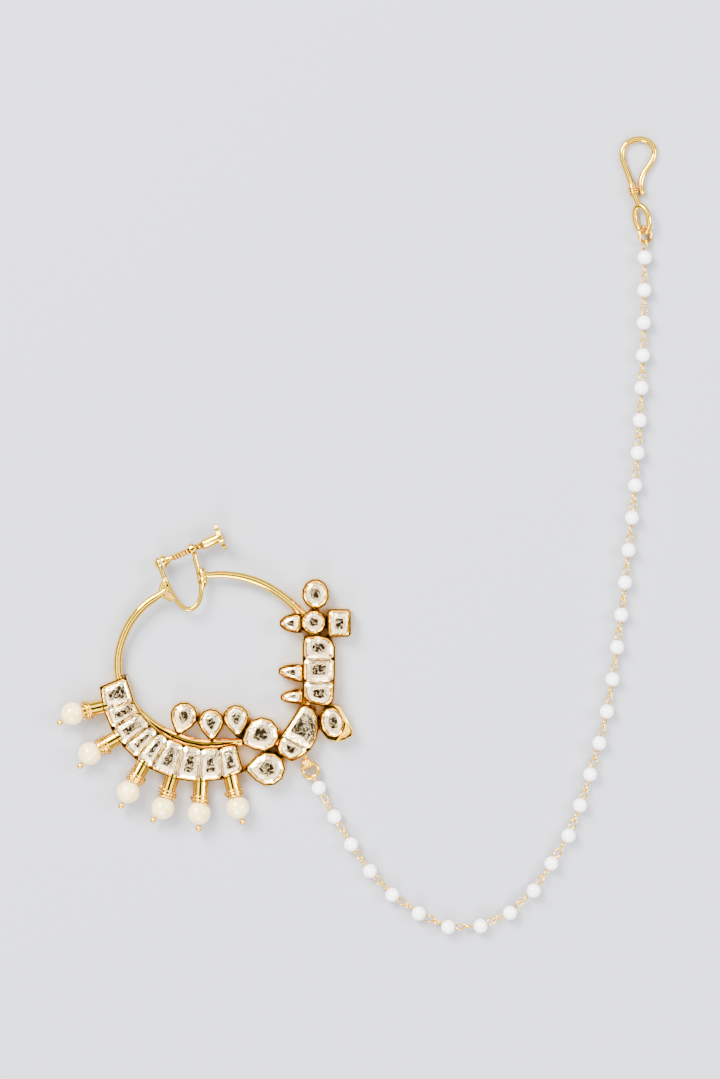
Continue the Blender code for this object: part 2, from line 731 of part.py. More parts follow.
def thumb_screw(root):
    """Tip, thread, sleeve and knurled disc, turned as one."""
    sides = 2 * THUMB_TEETH
    floor = PAD_THICKNESS + REST_GAP
    shoulder = PAD_THICKNESS + PAD_HUB_LENGTH + REST_GAP
    rows = [(floor, 0.0), (floor, TIP_DIAMETER / 2), (shoulder, TIP_DIAMETER / 2)]
    tip = turned("tip", rows + [(shoulder + THREAD_PITCH, TIP_DIAMETER / 2)], 8)
    thread_end = shoulder + SCREW_LENGTH
    steps = round(2 * SCREW_LENGTH / THREAD_PITCH)
    loops = []
    for step in range(steps + 1):
        along = shoulder + SCREW_LENGTH * step / steps
        loop = []
        for corner in range(10):
            turn = 2 * math.pi * corner / 10
            phase = (step / 2 - corner / 10) % 1.0
            radius = SCREW_DIAMETER / 2 - THREAD_DEPTH * abs(2 * phase - 1)
            loop.append(Vector((along, radius * math.cos(turn), radius * math.sin(turn))))
        loops.append(loop)
    thread = loft("thread", loops)
    sleeve_start = thread_end - THREAD_PITCH
    disc_start = sleeve_start + SLEEVE_LENGTH
    sleeve = turned("sleeve", [
        (sleeve_start - SLEEVE_DIAMETER / 4, SLEEVE_DIAMETER / 3),
        (sleeve_start, SLEEVE_DIAMETER / 2),
        (disc_start + THUMB_THICKNESS / 2, SLEEVE_DIAMETER / 2),
    ], 10)
    loops = []
    for along, cut in ((0.0, THUMB_TOOTH), (THUMB_TOOTH, 0.0),
                       (THUMB_THICKNESS - THUMB_TOOTH, 0.0), (THUMB_THICKNESS, THUMB_TOOTH)):
        loop = []
        for corner in range(sides):
            turn = 2 * math.pi * corner / sides
            radius = THUMB_DIAMETER / 2 - cut - (THUMB_TOOTH if corner % 2 else 0.0)
            loop.append(Vector((disc_start + along, radius * math.cos(turn), radius * math.sin(turn))))
        loops.append(loop)
    disc = loft("disc", loops)
    screw = fuse("thumb_screw", [thread, tip, sleeve, disc], gold(), root)
    screw.matrix_local = clip_place() @ Matrix.Translation(Vector((REST_GAP, 0, 0)))
    return screw


def chain_centre():
    """The centre of the frame's jump ring."""
    centre = plan(*CHAIN_CENTRE)
    centre.z = chain_height()
    return centre


def chain_height():
    """The chain's height as it lies: its beads just touch the surface."""
    return BEAD_DIAMETER / 2 + SURFACE_GAP


def loop_pieces():
    """The stem and upright loop that hold the frame's jump ring."""
    foot = plan(*LOOP_FOOT)
    foot.z = chain_height()
    out = (foot - chain_centre()).normalized()
    centre = chain_centre() + out * (FRAME_RING - FRAME_RING_WIRE) / 2
    bend = (FRAME_RING_WIRE + LOOP_WIRE) / 2 + LINK_GAP
    route = []
    for step in range(ROUND_SIDES):
        angle = 2 * math.pi * step / ROUND_SIDES
        route.append(centre + out * bend * math.cos(angle) + Vector((0, 0, bend * math.sin(angle))))
    side = Vector((-out.y, out.x, 0))
    loop = tube("loop", route, LOOP_WIRE / 2, 6, ring=True, upright=side)
    stem = tube("stem", [centre + out * bend, foot], LOOP_STEM_WIRE / 2, 8)
    return [loop, stem]


def jump_ring(name, centre, aim, roll, size, wire, root):
    """A round ring about a centre, rolled about the way that the chain pulls it."""
    bend = (size - wire) / 2
    spin = Matrix.Rotation(math.radians(aim), 3, "Z") @ Matrix.Rotation(math.radians(roll), 3, "X")
    count = 14
    route = [centre + spin @ Vector((math.cos(2 * math.pi * step / count) * bend,
                                     math.sin(2 * math.pi * step / count) * bend, 0))
             for step in range(count)]
    mesh = tube(name, route, wire / 2, 6, ring=True, upright=spin @ Vector((0, 0, 1)))
    return add_object(name, mesh, gold(), root)


def along_route(route, distance):
    """The point at a distance along a route, and past its end straight on."""
    for start, end in zip(route, route[1:]):
        length = (end - start).length
        if distance <= length:
            return start.lerp(end, distance / length)
        distance -= length
    way = (route[-1] - route[-2]).normalized()
    return route[-1] + way * distance


def chain_points():
    """The centres of the frame's ring, of each bead and of the hook's ring."""
    base = chain_centre()
    route = smooth_route([base + Vector((x, y, 0)) for x, y in CHAIN_ROUTE], BEAD_DIAMETER / 2)
    first = END_REACH + (FRAME_RING - FRAME_RING_WIRE) / 2
    beads = [along_route(route, first + BEAD_PITCH * number) for number in range(BEAD_COUNT)]
    last = first + BEAD_PITCH * (BEAD_COUNT - 1)
    last += HOOK_END_REACH + (HOOK_RING - HOOK_RING_WIRE) / 2
    return base, beads, along_route(route, last)


def eye(name, start, end, width, roll):
    """An oval eye of fine wire from one point to another, rolled about the line between them."""
    way = (end - start).normalized()
    side = way.cross(Vector((0, 0, 1))).normalized()
    turn = Matrix.Rotation(math.radians(roll), 3, way)
    side = turn @ side
    length = (end - start).length
    bend = (width - EYE_WIRE) / 2
    half = length / 2
    centre = start.lerp(end, 0.5)
    sides = 10
    route = []
    for step in range(sides):
        angle = 2 * math.pi * step / sides
        route.append(centre + way * half * math.cos(angle)
                     + side * bend * math.sin(angle) * (1.0 + EYE_BULGE * math.cos(angle) ** 2))
    return tube(name, route, EYE_WIRE / 2, FINE_SIDES, ring=True, upright=way.cross(side))


def bead_chain(root):
    """Thirty beads joined by wire in one body, with an open eye of wire at each end of the row."""
    ring, beads, hook_ring = chain_points()
    radius = BEAD_DIAMETER / 2
    pieces = [tube("links", beads, LINK_WIRE / 2, FINE_SIDES)]
    ends = ((beads[0], ring, END_REACH, FRAME_RING_WIRE, 90.0),
            (beads[-1], hook_ring, HOOK_END_REACH, HOOK_RING_WIRE, HOOK_RING_ROLL - 90.0))
    for bead, ring_centre, end_reach, ring_wire, roll in ends:
        way = (ring_centre - bead).normalized()
        reach = end_reach + (ring_wire + EYE_WIRE) / 2 + LINK_GAP
        pieces.append(eye("eye", bead + way * (radius - EYE_SINK), bead + way * reach,
                          EYE_WIDTH, roll))
    return fuse("bead_chain", [balls("beads", beads, radius)] + pieces, white_pearl(), root)


def hook_place():
    """The hook's frame: its origin is the low point of its eye, and Y runs up the hook."""
    ring, beads, centre = chain_points()
    way = (centre - beads[-1]).normalized()
    hang = HOOK_RING / 2 - HOOK_RING_WIRE - HOOK_WIRE / 2 - LINK_GAP
    return centre + way * hang


def hook_point(place, row):
    """A point of the hook's route in the world."""
    low = HOOK_WIRE / 2 + SURFACE_GAP
    x, y, lift = row
    height = low + (chain_height() - low) * lift
    return Vector((place.x + x * HOOK_REACH, place.y + y * HOOK_REACH, height))


def hook(root):
    """The hook: a bent wire with a rounded end, an oval eye and the eye's tail wrapped round it."""
    place = hook_place()
    lean = Matrix.Rotation(math.radians(HOOK_EYE_LEAN), 3, "Z")
    roll = Matrix.Rotation(math.radians(HOOK_EYE_ROLL), 3, "Y")
    points = [hook_point(place, row) for row in HOOK_ROUTE]
    points.append(place + lean @ roll @ Vector((0, HOOK_EYE_LENGTH, 0)))
    wire = tube("wire", smooth_route(points, HOOK_WIRE), HOOK_WIRE / 2, WIRE_SIDES)
    route = []
    count = 14
    for step in range(count):
        angle = 2 * math.pi * step / count
        local = Vector((HOOK_EYE_WIDTH / 2 * math.sin(angle),
                        HOOK_EYE_LENGTH / 2 * (1 - math.cos(angle)), 0))
        route.append(place + lean @ roll @ local)
    oval = tube("oval", route, HOOK_WIRE / 2, WIRE_SIDES, ring=True,
                upright=lean @ roll @ Vector((0, 0, 1)))
    low, high = points[HOOK_WRAP_PLACE], points[HOOK_WRAP_PLACE + 1]
    along = (high - low).normalized()
    side = along.cross(Vector((0, 0, 1))).normalized()
    over = side.cross(along)
    coil = []
    steps = 9 * HOOK_WRAP_TURNS
    for step in range(steps + 1):
        angle = 2 * math.pi * step / 9
        spread = (HOOK_WIRE + HOOK_WRAP_WIRE * (1 - HOOK_WRAP_SINK)) / 2
        shift = HOOK_WRAP_WIRE * HOOK_WRAP_SPACING * step / 9
        coil.append(low.lerp(high, HOOK_WRAP_START) + along * shift
                    + (side * math.cos(angle) + over * math.sin(angle)) * spread)
    wrap = tube("wrap", coil, HOOK_WRAP_WIRE / 2, 6, upright=along)
    end = balls("end", [points[0]], HOOK_WIRE / 2 * HOOK_END_SHARE)
    return fuse("hook", [wire, oval, wrap, end], gold(), root)


def settings():
    """Each setting: the stones' names, the tray's outline, its seat and the stones' outlines."""
    rows = []
    band = band_outline()
    rows.append((["band_stone_%d" % number for number in range(1, len(BAND_EDGES))],
                 band, None, slices(band, band_cuts())))
    side = [plan(*point) for point in SIDE_OUTLINE][::-1]
    rows.append((["side_stone_1", "side_stone_2", "side_stone_3"], side, None,
                 slices(side, [line[::-1] for line in plan_cuts(SIDE_CUTS)])))
    corner = [plan(*point) for point in CORNER_OUTLINE][::-1]
    rows.append((["corner_stone_1", "corner_stone_2"], corner, None,
                 slices(corner, [line[::-1] for line in plan_cuts(CORNER_CUTS)])))
    wall = RIM_WALL + STONE_GAP
    for name, x, y, radius, reach, angle in POINTED:
        outline = pointed_outline(x, y, radius, reach, angle)
        rows.append(([name], outline, None, [inset(outline, wall)]))
    for name, x, y, half_width, half_length, turn, back in LEAVES:
        outline = cut_back(oval_outline(x, y, half_width, half_length, turn), back)
        rows.append(([name], outline, None, [inset(outline, wall)]))
    for name, x, y, half_width, half_length in OVALS:
        outline = oval_outline(x, y, half_width, half_length)
        rows.append(([name], outline, None, [inset(outline, wall)]))
    name, x, y, half_width, half_length = SQUARE
    box = [plan(x + half_width * a, y + half_length * b)
           for a, b in ((1, 1), (-1, 1), (-1, -1), (1, -1))]
    box = cut_corners(box, CORNER_CUT)
    rows.append(([name], box, None, [inset(box, wall)]))
    rows.append(paisley())
    return rows


def paisley():
    """The paisley setting, whose oval stone leaves its curled tip bare."""
    outline = [plan(*point) for point in PAISLEY_OUTLINE][::-1]
    x, y, half_width, half_length, turn = PAISLEY_STONE
    centre = plan(x, y)
    spin = math.radians(turn)
    seat = []
    for point in outline:
        way = (point - centre).normalized()
        angle = math.atan2(way.y, way.x) - spin
        reach = 1 / math.hypot(math.cos(angle) / half_width, math.sin(angle) / half_length)
        seat.append(centre + way * reach * NATH_RADIUS)
    return ["paisley_stone"], outline, seat, [inset(seat, STONE_GAP)]


def build():
    """Builds the whole jewel and stands its origin under the middle of its box."""
    for old in list(bpy.data.objects):
        bpy.data.objects.remove(old)
    root = bpy.data.objects.new("nath", None)
    bpy.context.scene.collection.objects.link(root)
    frames = drop_frames()
    metal = [hoop()] + clip_pieces() + loop_pieces()
    for names, outline, seat, stones in settings():
        metal.append(tray("tray", outline, seat))
        for name, stone_outline in zip(names, stones):
            stone(name, stone_outline, root)
    for tube_place, pearl_place in frames:
        mesh = drop_tube()
        mesh.transform(tube_place)
        metal.append(mesh)
    fuse("setting_frame", metal, gold(), root)
    for number, (tube_place, pearl_place) in enumerate(frames, 1):
        add_object("pearl_%d" % number, pearl_mesh(), cream_pearl(), root, pearl_place)
        head_pin("head_pin_%d" % number, tube_place, pearl_place, root)
        add_object("wire_wrap_%d" % number, wire_wrap_mesh(), gold(), root, tube_place)
    screw_pad(root)
    thumb_screw(root)
    ring, beads, hook_ring = chain_points()
    jump_ring("frame_ring", ring, 0.0, 0.0, FRAME_RING, FRAME_RING_WIRE, root)
    way = hook_ring - beads[-1]
    aim = math.degrees(math.atan2(way.y, way.x))
    jump_ring("hook_ring", hook_ring, aim, HOOK_RING_ROLL, HOOK_RING, HOOK_RING_WIRE, root)
    bead_chain(root)
    hook(root)
    centre_on_origin(root)


def centre_on_origin(root):
    """Moves everything so that the middle of the footprint is the origin."""
    bpy.context.view_layer.update()
    corners = []
    for piece in root.children:
        corners.extend(piece.matrix_world @ vertex.co for vertex in piece.data.vertices)
    low = [min(corner[axis] for corner in corners) for axis in range(3)]
    high = [max(corner[axis] for corner in corners) for axis in range(3)]
    root.location = (-(low[0] + high[0]) / 2, -(low[1] + high[1]) / 2, -low[2])
    bpy.context.view_layer.update()


build()
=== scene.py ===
import logging
import math
import random
from dataclasses import dataclass
from enum import Enum
from typing import Any, Callable, Sequence

import bmesh
import bpy
from mathutils import Matrix, Vector


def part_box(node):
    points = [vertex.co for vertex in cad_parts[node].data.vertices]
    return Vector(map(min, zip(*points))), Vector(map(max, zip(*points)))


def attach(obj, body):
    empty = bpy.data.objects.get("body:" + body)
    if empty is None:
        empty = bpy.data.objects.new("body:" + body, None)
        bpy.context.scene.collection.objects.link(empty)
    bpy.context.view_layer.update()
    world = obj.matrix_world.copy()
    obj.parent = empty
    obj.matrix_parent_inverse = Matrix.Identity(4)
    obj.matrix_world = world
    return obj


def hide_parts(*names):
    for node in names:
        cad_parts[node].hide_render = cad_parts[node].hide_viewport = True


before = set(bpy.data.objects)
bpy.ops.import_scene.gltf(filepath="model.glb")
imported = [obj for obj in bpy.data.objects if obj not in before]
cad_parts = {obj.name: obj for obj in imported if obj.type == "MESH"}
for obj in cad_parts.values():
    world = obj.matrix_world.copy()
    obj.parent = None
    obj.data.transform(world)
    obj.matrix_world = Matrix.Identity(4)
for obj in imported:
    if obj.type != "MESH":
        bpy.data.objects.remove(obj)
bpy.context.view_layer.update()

LOG = logging.getLogger("nath")

# The photograph's frame: metres for each of its pixels, its height in pixels, and its middle as a
# place over the surface
PIXEL = 0.000215
PICTURE_HEIGHT = 1079
PICTURE_MIDDLE = Vector((0.00059, -0.00095, 0.0025))
# The hoop's middle and radius in the photograph's pixels
HOOP_PIXEL = (208.7, 662.8)
RADIUS_PIXELS = 100

# The hoop's radius, and its middle, found from the round stone whose place in the plan is known
RADIUS = 0.0215
ROUND_STONE = Vector((1.048, 0.423, 0.0))
STONE_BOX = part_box("round_stone")
HOOP_MIDDLE = Vector((
    (STONE_BOX[0].x + STONE_BOX[1].x) / 2 - ROUND_STONE.x * RADIUS,
    (STONE_BOX[0].y + STONE_BOX[1].y) / 2 - ROUND_STONE.y * RADIUS,
    0.0,
))
SURFACE_GAP = 0.00003
WELD = 0.000002
LATHE_TO_X = Matrix.Rotation(math.radians(90), 4, "Y")


class Body(Enum):
    """The bodies that pieces ride on."""

    ROOT = "root"
    PAD = "screw_pad"
    SCREW = "screw"


class Slot(Enum):
    """The record's material slots."""

    GOLD = "gold"
    GLASS = "kundan_glass"
    DROP_PEARL = "drop_pearl"
    CHAIN_BEAD = "chain_bead"


class Part(Enum):
    """What is picked in edit mode."""

    VERTICES = "VERT"
    EDGES = "EDGE"
    FACES = "FACE"


def plan(x: float, y: float, z: float = 0.0) -> Vector:
    """A point of the plan, in shares of the hoop's radius from its middle, in metres."""
    return HOOP_MIDDLE + Vector((x * RADIUS, y * RADIUS, z))


def heading(degrees: float) -> Vector:
    """The unit vector at an angle in the plan."""
    return Vector((math.cos(math.radians(degrees)), math.sin(math.radians(degrees)), 0.0))


def pixel(x: float, y: float, z: float = 0.0) -> Vector:
    """A place in the photograph as a point at a height, in metres."""
    return plan((x - HOOP_PIXEL[0]) / RADIUS_PIXELS, (HOOP_PIXEL[1] - y) / RADIUS_PIXELS, z)


def smooth_route(points: Sequence[Vector], step: float) -> list[Vector]:
    """Draws a smooth curve through points.

    Args:
        points: The points that the curve passes through.
        step: About how far apart the curve's own points lie.

    Returns:
        The curve's points, in order.
    """
    route = [points[0].copy()]
    for index in range(len(points) - 1):
        before = points[max(index - 1, 0)]
        start = points[index]
        end = points[index + 1]
        after = points[min(index + 2, len(points) - 1)]
        pieces = max(1, round((end - start).length / step))
        for piece in range(1, pieces + 1):
            t = piece / pieces
            route.append(0.5 * (2 * start + (end - before) * t
                                + (2 * before - 5 * start + 4 * end - after) * t ** 2
                                + (3 * start - before - 3 * end + after) * t ** 3))
    return route


def along_route(route: Sequence[Vector], distance: float) -> Vector:
    """Finds the point at a distance along a route, and past its end straight on.

    Args:
        route: The route's points.
        distance: How far along it the point lies.

    Returns:
        The point.
    """
    for start, end in zip(route, route[1:]):
        length = (end - start).length
        if distance <= length:
            return start.lerp(end, distance / length)
        distance -= length
    return route[-1] + (route[-1] - route[-2]).normalized() * distance


def arc(centre: Vector, across: Vector, over: Vector, steps: int, start: float = 0.0,
        sweep: float = 360.0) -> list[Vector]:
    """Draws points round an oval or along a part of it.

    Args:
        centre: The oval's centre.
        across: From the centre to the point at 0 degrees.
        over: From the centre to the point at 90 degrees.
        steps: How many steps the points lie apart in all.
        start: The first point's angle in degrees.
        sweep: How many degrees the points go round.

    Returns:
        The points, where a whole turn leaves out the last one.
    """
    count = steps if sweep == 360.0 else steps + 1
    angles = [math.radians(start + sweep * step / steps) for step in range(count)]
    return [centre + across * math.cos(angle) + over * math.sin(angle) for angle in angles]


def facing(place: Vector, way: Vector, roll: float = 0.0) -> Matrix:
    """Makes a frame whose X points one way.

    Args:
        place: The frame's origin.
        way: The direction of its X.
        roll: Degrees that it is rolled about X, from Y level.

    Returns:
        The frame as a matrix.
    """
    along = way.normalized()
    side = Vector((0, 0, 1)).cross(along)
    side = side.normalized() if side.length > 1e-6 else Vector((0, 1, 0))
    over = along.cross(side)
    turn = Matrix((along, side, over)).transposed().to_4x4()
    return Matrix.Translation(place) @ turn @ Matrix.Rotation(math.radians(roll), 4, "X")


def put_down() -> None:
    """Leaves edit mode and lets go of everything."""
    if bpy.context.mode != "OBJECT":
        bpy.ops.object.mode_set(mode="OBJECT")
    bpy.ops.object.select_all(action="DESELECT")


def take_up(piece: bpy.types.Object) -> None:
    """Makes one piece the selected and active one."""
    put_down()
    piece.select_set(True)
    bpy.context.view_layer.objects.active = piece


def added(name: str) -> bpy.types.Object:
    """Names the piece that was just added, and leaves its object at the origin."""
    piece = bpy.context.object
    piece.name = name
    piece.data.name = name
    bpy.ops.object.transform_apply(location=True, rotation=True, scale=True)
    return piece


def open_up(piece: bpy.types.Object) -> None:
    """Takes a piece into edit mode with nothing picked."""
    take_up(piece)
    bpy.ops.object.mode_set(mode="EDIT")
    bpy.ops.mesh.select_all(action="DESELECT")


def pick(piece: bpy.types.Object, part: Part, test: Callable[[Any], bool]) -> int:
    """Picks in edit mode what passes a test.

    Args:
        piece: The piece in edit mode.
        part: Whether vertices, edges or faces are picked.
        test: Says of each one whether it is picked.

    Returns:
        How many were picked.
    """
    bpy.ops.mesh.select_mode(type=part.value)
    bpy.ops.mesh.select_all(action="DESELECT")
    shape = bmesh.from_edit_mesh(piece.data)
    rows = {Part.VERTICES: shape.verts, Part.EDGES: shape.edges, Part.FACES: shape.faces}[part]
    count = 0
    for item in rows:
        if test(item):
            item.select_set(True)
            count += 1
    bmesh.update_edit_mesh(piece.data)
    return count


def weld(piece: bpy.types.Object) -> None:
    """Takes a piece into edit mode and joins its corners that lie on each other."""
    open_up(piece)
    bpy.ops.mesh.select_all(action="SELECT")
    bpy.ops.mesh.remove_doubles(threshold=WELD)


def step_on(way: Sequence[float], share: float, centre: Sequence[float] = (0, 0, 0)) -> None:
    """Extrudes the picked faces and resizes them level.

    Args:
        way: How far they move.
        share: Their new size as a share of the old one.
        centre: The point that they are resized about.
    """
    bpy.ops.mesh.extrude_region_move(TRANSFORM_OT_translate={"value": tuple(way)})
    bpy.ops.transform.resize(value=(share, share, 1), center_override=tuple(centre))


def face_outwards(piece: bpy.types.Object) -> None:
    """Turns every face of a closed piece outwards."""
    open_up(piece)
    bpy.ops.mesh.select_all(action="SELECT")
    bpy.ops.mesh.normals_make_consistent(inside=False)
    put_down()


def shade(piece: bpy.types.Object, degrees: float = 35.0) -> None:
    """Shades a piece smooth where its faces meet at less than an angle."""
    take_up(piece)
    bpy.ops.object.shade_smooth_by_angle(angle=math.radians(degrees))
    put_down()


def move_into_place(piece: bpy.types.Object, place: Matrix) -> bpy.types.Object:
    """Puts a piece at its place and leaves its object at the origin."""
    take_up(piece)
    piece.matrix_world = place @ piece.matrix_world
    bpy.ops.object.transform_apply(location=True, rotation=True, scale=True)
    put_down()
    return piece


def copy_of(piece: bpy.types.Object, name: str, place: Matrix | None = None) -> bpy.types.Object:
    """Copies a piece with a mesh of its own.

    Args:
        piece: The piece, whose object sits at the origin.
        name: The copy's name.
        place: Where the copy goes, if it moves.

    Returns:
        The copy.
    """
    twin = piece.copy()
    twin.data = piece.data.copy()
    twin.parent = None
    twin.name = name
    twin.data.name = name
    bpy.context.scene.collection.objects.link(twin)
    twin.matrix_world = Matrix.Identity(4)
    twin.hide_render = False
    twin.hide_viewport = False
    return move_into_place(twin, place) if place is not None else twin


def bin_piece(piece: bpy.types.Object) -> None:
    """Takes a pattern piece away once its copies are made."""
    bpy.data.objects.remove(piece)


def join(pieces: Sequence[bpy.types.Object], name: str) -> bpy.types.Object:
    """Joins pieces into one object under a name."""
    put_down()
    for piece in pieces:
        piece.select_set(True)
    bpy.context.view_layer.objects.active = pieces[0]
    if len(pieces) > 1:
        bpy.ops.object.join()
    whole = bpy.context.view_layer.objects.active
    whole.name = name
    whole.data.name = name
    put_down()
    return whole


def apply(piece: bpy.types.Object, kind: str, **settings: Any) -> None:
    """Adds a modifier with its settings and applies it."""
    take_up(piece)
    step = piece.modifiers.new(kind.lower(), kind)
    for key, value in settings.items():
        setattr(step, key, value)
    bpy.ops.object.modifier_apply(modifier=step.name)
    put_down()


def draw_wire(name: str, route: Sequence[Vector], radius: float, closed: bool = False,
              detail: int = 5, radii: Sequence[float] | None = None) -> bpy.types.Object:
    """Draws round wire along a route.

    Args:
        name: The wire's name.
        route: The points that its middle passes through.
        radius: Half its thickness.
        closed: Whether its end meets its start.
        detail: The curve's bevel resolution; the wire has four sides and two more for each.
        radii: A share of the radius for each point, if it swells or thins.

    Returns:
        The wire as a mesh.
    """
    put_down()
    bpy.ops.curve.primitive_nurbs_path_add()
    curve = bpy.context.object.data
    curve.splines.clear()
    line = curve.splines.new("POLY")
    line.points.add(len(route) - 1)
    for index, point in enumerate(route):
        line.points[index].co = (point.x, point.y, point.z, 1.0)
        line.points[index].radius = radii[index] if radii else 1.0
    line.use_cyclic_u = closed
    curve.dimensions = "3D"
    curve.twist_mode = "MINIMUM"
    curve.bevel_depth = radius
    curve.bevel_resolution = detail
    curve.use_fill_caps = not closed
    bpy.ops.object.convert(target="MESH")
    wire = added(name)
    shade(wire, 50)
    return wire


def turn_piece(name: str, rows: Sequence[tuple[float, float]],
               sides: int = 40) -> bpy.types.Object:
    """Turns a solid about Z: a disc is extruded and resized row by row.

    Args:
        name: The piece's name.
        rows: Place along Z and radius of each row.
        sides: How many sides it has.

    Returns:
        The solid.
    """
    put_down()
    bpy.ops.mesh.primitive_circle_add(vertices=sides, radius=rows[0][1], fill_type="NGON",
                                      location=(0, 0, rows[0][0]))
    piece = added(name)
    bpy.ops.object.mode_set(mode="EDIT")
    bpy.ops.mesh.select_mode(type="FACE")
    bpy.ops.mesh.select_all(action="SELECT")
    for (low, low_radius), (high, high_radius) in zip(rows, rows[1:]):
        step_on((0, 0, high - low), high_radius / low_radius)
    face_outwards(piece)
    shade(piece)
    return piece


def drilled_bead(name: str, size: float, segments: int, rings: int) -> bpy.types.Object:
    """Models a drilled round bead whose hole lies along Z.

    Args:
        name: The bead's name.
        size: Its diameter.
        segments: Its sides round the hole.
        rings: Its rows of faces from hole to hole.

    Returns:
        The bead.
    """
    put_down()
    bpy.ops.mesh.primitive_uv_sphere_add(segments=segments, ring_count=rings, radius=size / 2)
    bead = added(name)
    open_up(bead)
    # In shares of the size, but the hole's width in shares of the cap's
    cap, dimple, hole_width, hole_depth = 0.485, 0.012, 0.55, 0.16
    for side in (1, -1):
        pick(bead, Part.FACES, lambda face: face.calc_center_median().z * side > size * cap)
        bpy.ops.mesh.dissolve_faces()
        step_on((0, 0, -side * size * dimple), hole_width)
        bpy.ops.mesh.extrude_region_move(
            TRANSFORM_OT_translate={"value": (0, 0, -side * size * hole_depth)})
    face_outwards(bead)
    shade(bead, 45)
    return bead


def flow_together(piece: bpy.types.Object, grain: float, rounds: int) -> None:
    """Runs the parts of a piece into each other as solder does.

    Args:
        piece: The piece, whose parts are closed and overlap.
        grain: The size of the mesh that results.
        rounds: How many times it is smoothed.
    """
    apply(piece, "REMESH", mode="VOXEL", voxel_size=grain, use_smooth_shade=True)
    apply(piece, "SMOOTH", factor=0.5, iterations=rounds)
    take_up(piece)
    bpy.ops.object.shade_smooth()
    put_down()


def colour(code: str) -> tuple[float, float, float, float]:
    """Turns a sRGB hex value into a linear colour."""
    parts = [int(code[place:place + 2], 16) / 255 for place in (1, 3, 5)]
    linear = [part / 12.92 if part <= 0.04045 else ((part + 0.055) / 1.055) ** 2.4
              for part in parts]
    return (linear[0], linear[1], linear[2], 1.0)


def per_metre(size_mm: float) -> float:
    """The scale of a pattern whose features are some millimetres apart."""
    return 1000.0 / size_mm


def set_inputs(tree: bpy.types.NodeTree, node: bpy.types.Node, inputs: dict[Any, Any]) -> None:
    """Gives a node its inputs.

    Args:
        tree: The node tree.
        node: The node.
        inputs: For each input, a value, or the output that it is linked to.
    """
    for key, value in inputs.items():
        if isinstance(value, bpy.types.NodeSocket):
            tree.links.new(value, node.inputs[key])
        else:
            node.inputs[key].default_value = value


def add_node(tree: bpy.types.NodeTree, kind: str, inputs: dict[Any, Any] | None = None,
             **settings: Any) -> bpy.types.Node:
    """Adds a node with its settings and links.

    Args:
        tree: The node tree.
        kind: The node's type.
        inputs: Its inputs.
        **settings: The node's own properties.

    Returns:
        The node.
    """
    node = tree.nodes.new(kind)
    for key, value in settings.items():
        setattr(node, key, value)
    set_inputs(tree, node, inputs or {})
    return node


def blank_material(name: str) -> tuple[bpy.types.Material, bpy.types.NodeTree, Any]:
    """Starts a material.

    Args:
        name: The material's name.

    Returns:
        The material, its node tree and its shader.
    """
    material = bpy.data.materials.new(name)
    material.use_nodes = True
    tree = material.node_tree
    return material, tree, tree.nodes["Principled BSDF"]


@dataclass(frozen=True)
class PlatedGold:
    """Yellow gold plating over brass, polished by hand.

    The wheel leaves a soft waviness that breaks up each reflection, and the plating is a little
    cloudy where fingers rub it. Corners and hollows get painted shade: a deep orange tone is mixed
    into the colour wherever ambient occlusion finds other metal close by.
    """

    name: str = "hand_polished_gold_plating"
    face: str = "#ECBE30"
    # Painted shade: the deep orange mixed into corners and hollows
    painted_recess_shade: str = "#D8902A"
    roughness: float = 0.05
    cloud: float = 0.06
    cloud_mm: float = 2.2
    wave_mm: float = 1.3
    wave_depth_mm: float = 0.022
    grain_mm: float = 0.22
    grain_depth_mm: float = 0.003
    # How near other metal must be for the painted shade to set in
    painted_shade_reach_mm: float = 0.45

    def make(self) -> bpy.types.Material:
        """The material."""
        material, tree, shader = blank_material(self.name)
        place = add_node(tree, "ShaderNodeTexCoord").outputs["Object"]
        wave = add_node(tree, "ShaderNodeTexNoise",
                        {"Vector": place, "Scale": per_metre(self.wave_mm), "Detail": 1.5})
        grain = add_node(tree, "ShaderNodeTexNoise",
                         {"Vector": place, "Scale": per_metre(self.grain_mm), "Detail": 3.0})
        waved = add_node(tree, "ShaderNodeBump",
                         {"Height": wave.outputs["Fac"], "Strength": 1.0,
                          "Distance": self.wave_depth_mm / 1000})
        grained = add_node(tree, "ShaderNodeBump",
                           {"Height": grain.outputs["Fac"], "Normal": waved.outputs["Normal"],
                            "Strength": 1.0, "Distance": self.grain_depth_mm / 1000})
        cloud = add_node(tree, "ShaderNodeTexNoise",
                         {"Vector": place, "Scale": per_metre(self.cloud_mm), "Detail": 3.0})
        rough = add_node(tree, "ShaderNodeMapRange",
                         {"Value": cloud.outputs["Fac"], "From Min": 0.35, "From Max": 0.7,
                          "To Min": self.roughness, "To Max": self.roughness + self.cloud})
        # Painted shade: ambient occlusion mixes the deep orange into the gold's colour in corners
        # and hollows
        painted_shade_ao = add_node(tree, "ShaderNodeAmbientOcclusion",
                          {"Distance": self.painted_shade_reach_mm / 1000}, samples=3)
        depth = add_node(tree, "ShaderNodeMapRange",
                         {"Value": painted_shade_ao.outputs["AO"], "From Min": 0.15, "From Max": 0.6})
        tone = add_node(tree, "ShaderNodeMix",
                        {0: depth.outputs["Result"], 6: colour(self.painted_recess_shade),
                         7: colour(self.face)}, data_type="RGBA")
        set_inputs(tree, shader, {
            "Base Color": tone.outputs[2], "Roughness": rough.outputs["Result"],
            "Normal": grained.outputs["Normal"], "Metallic": 1.0})
        return material


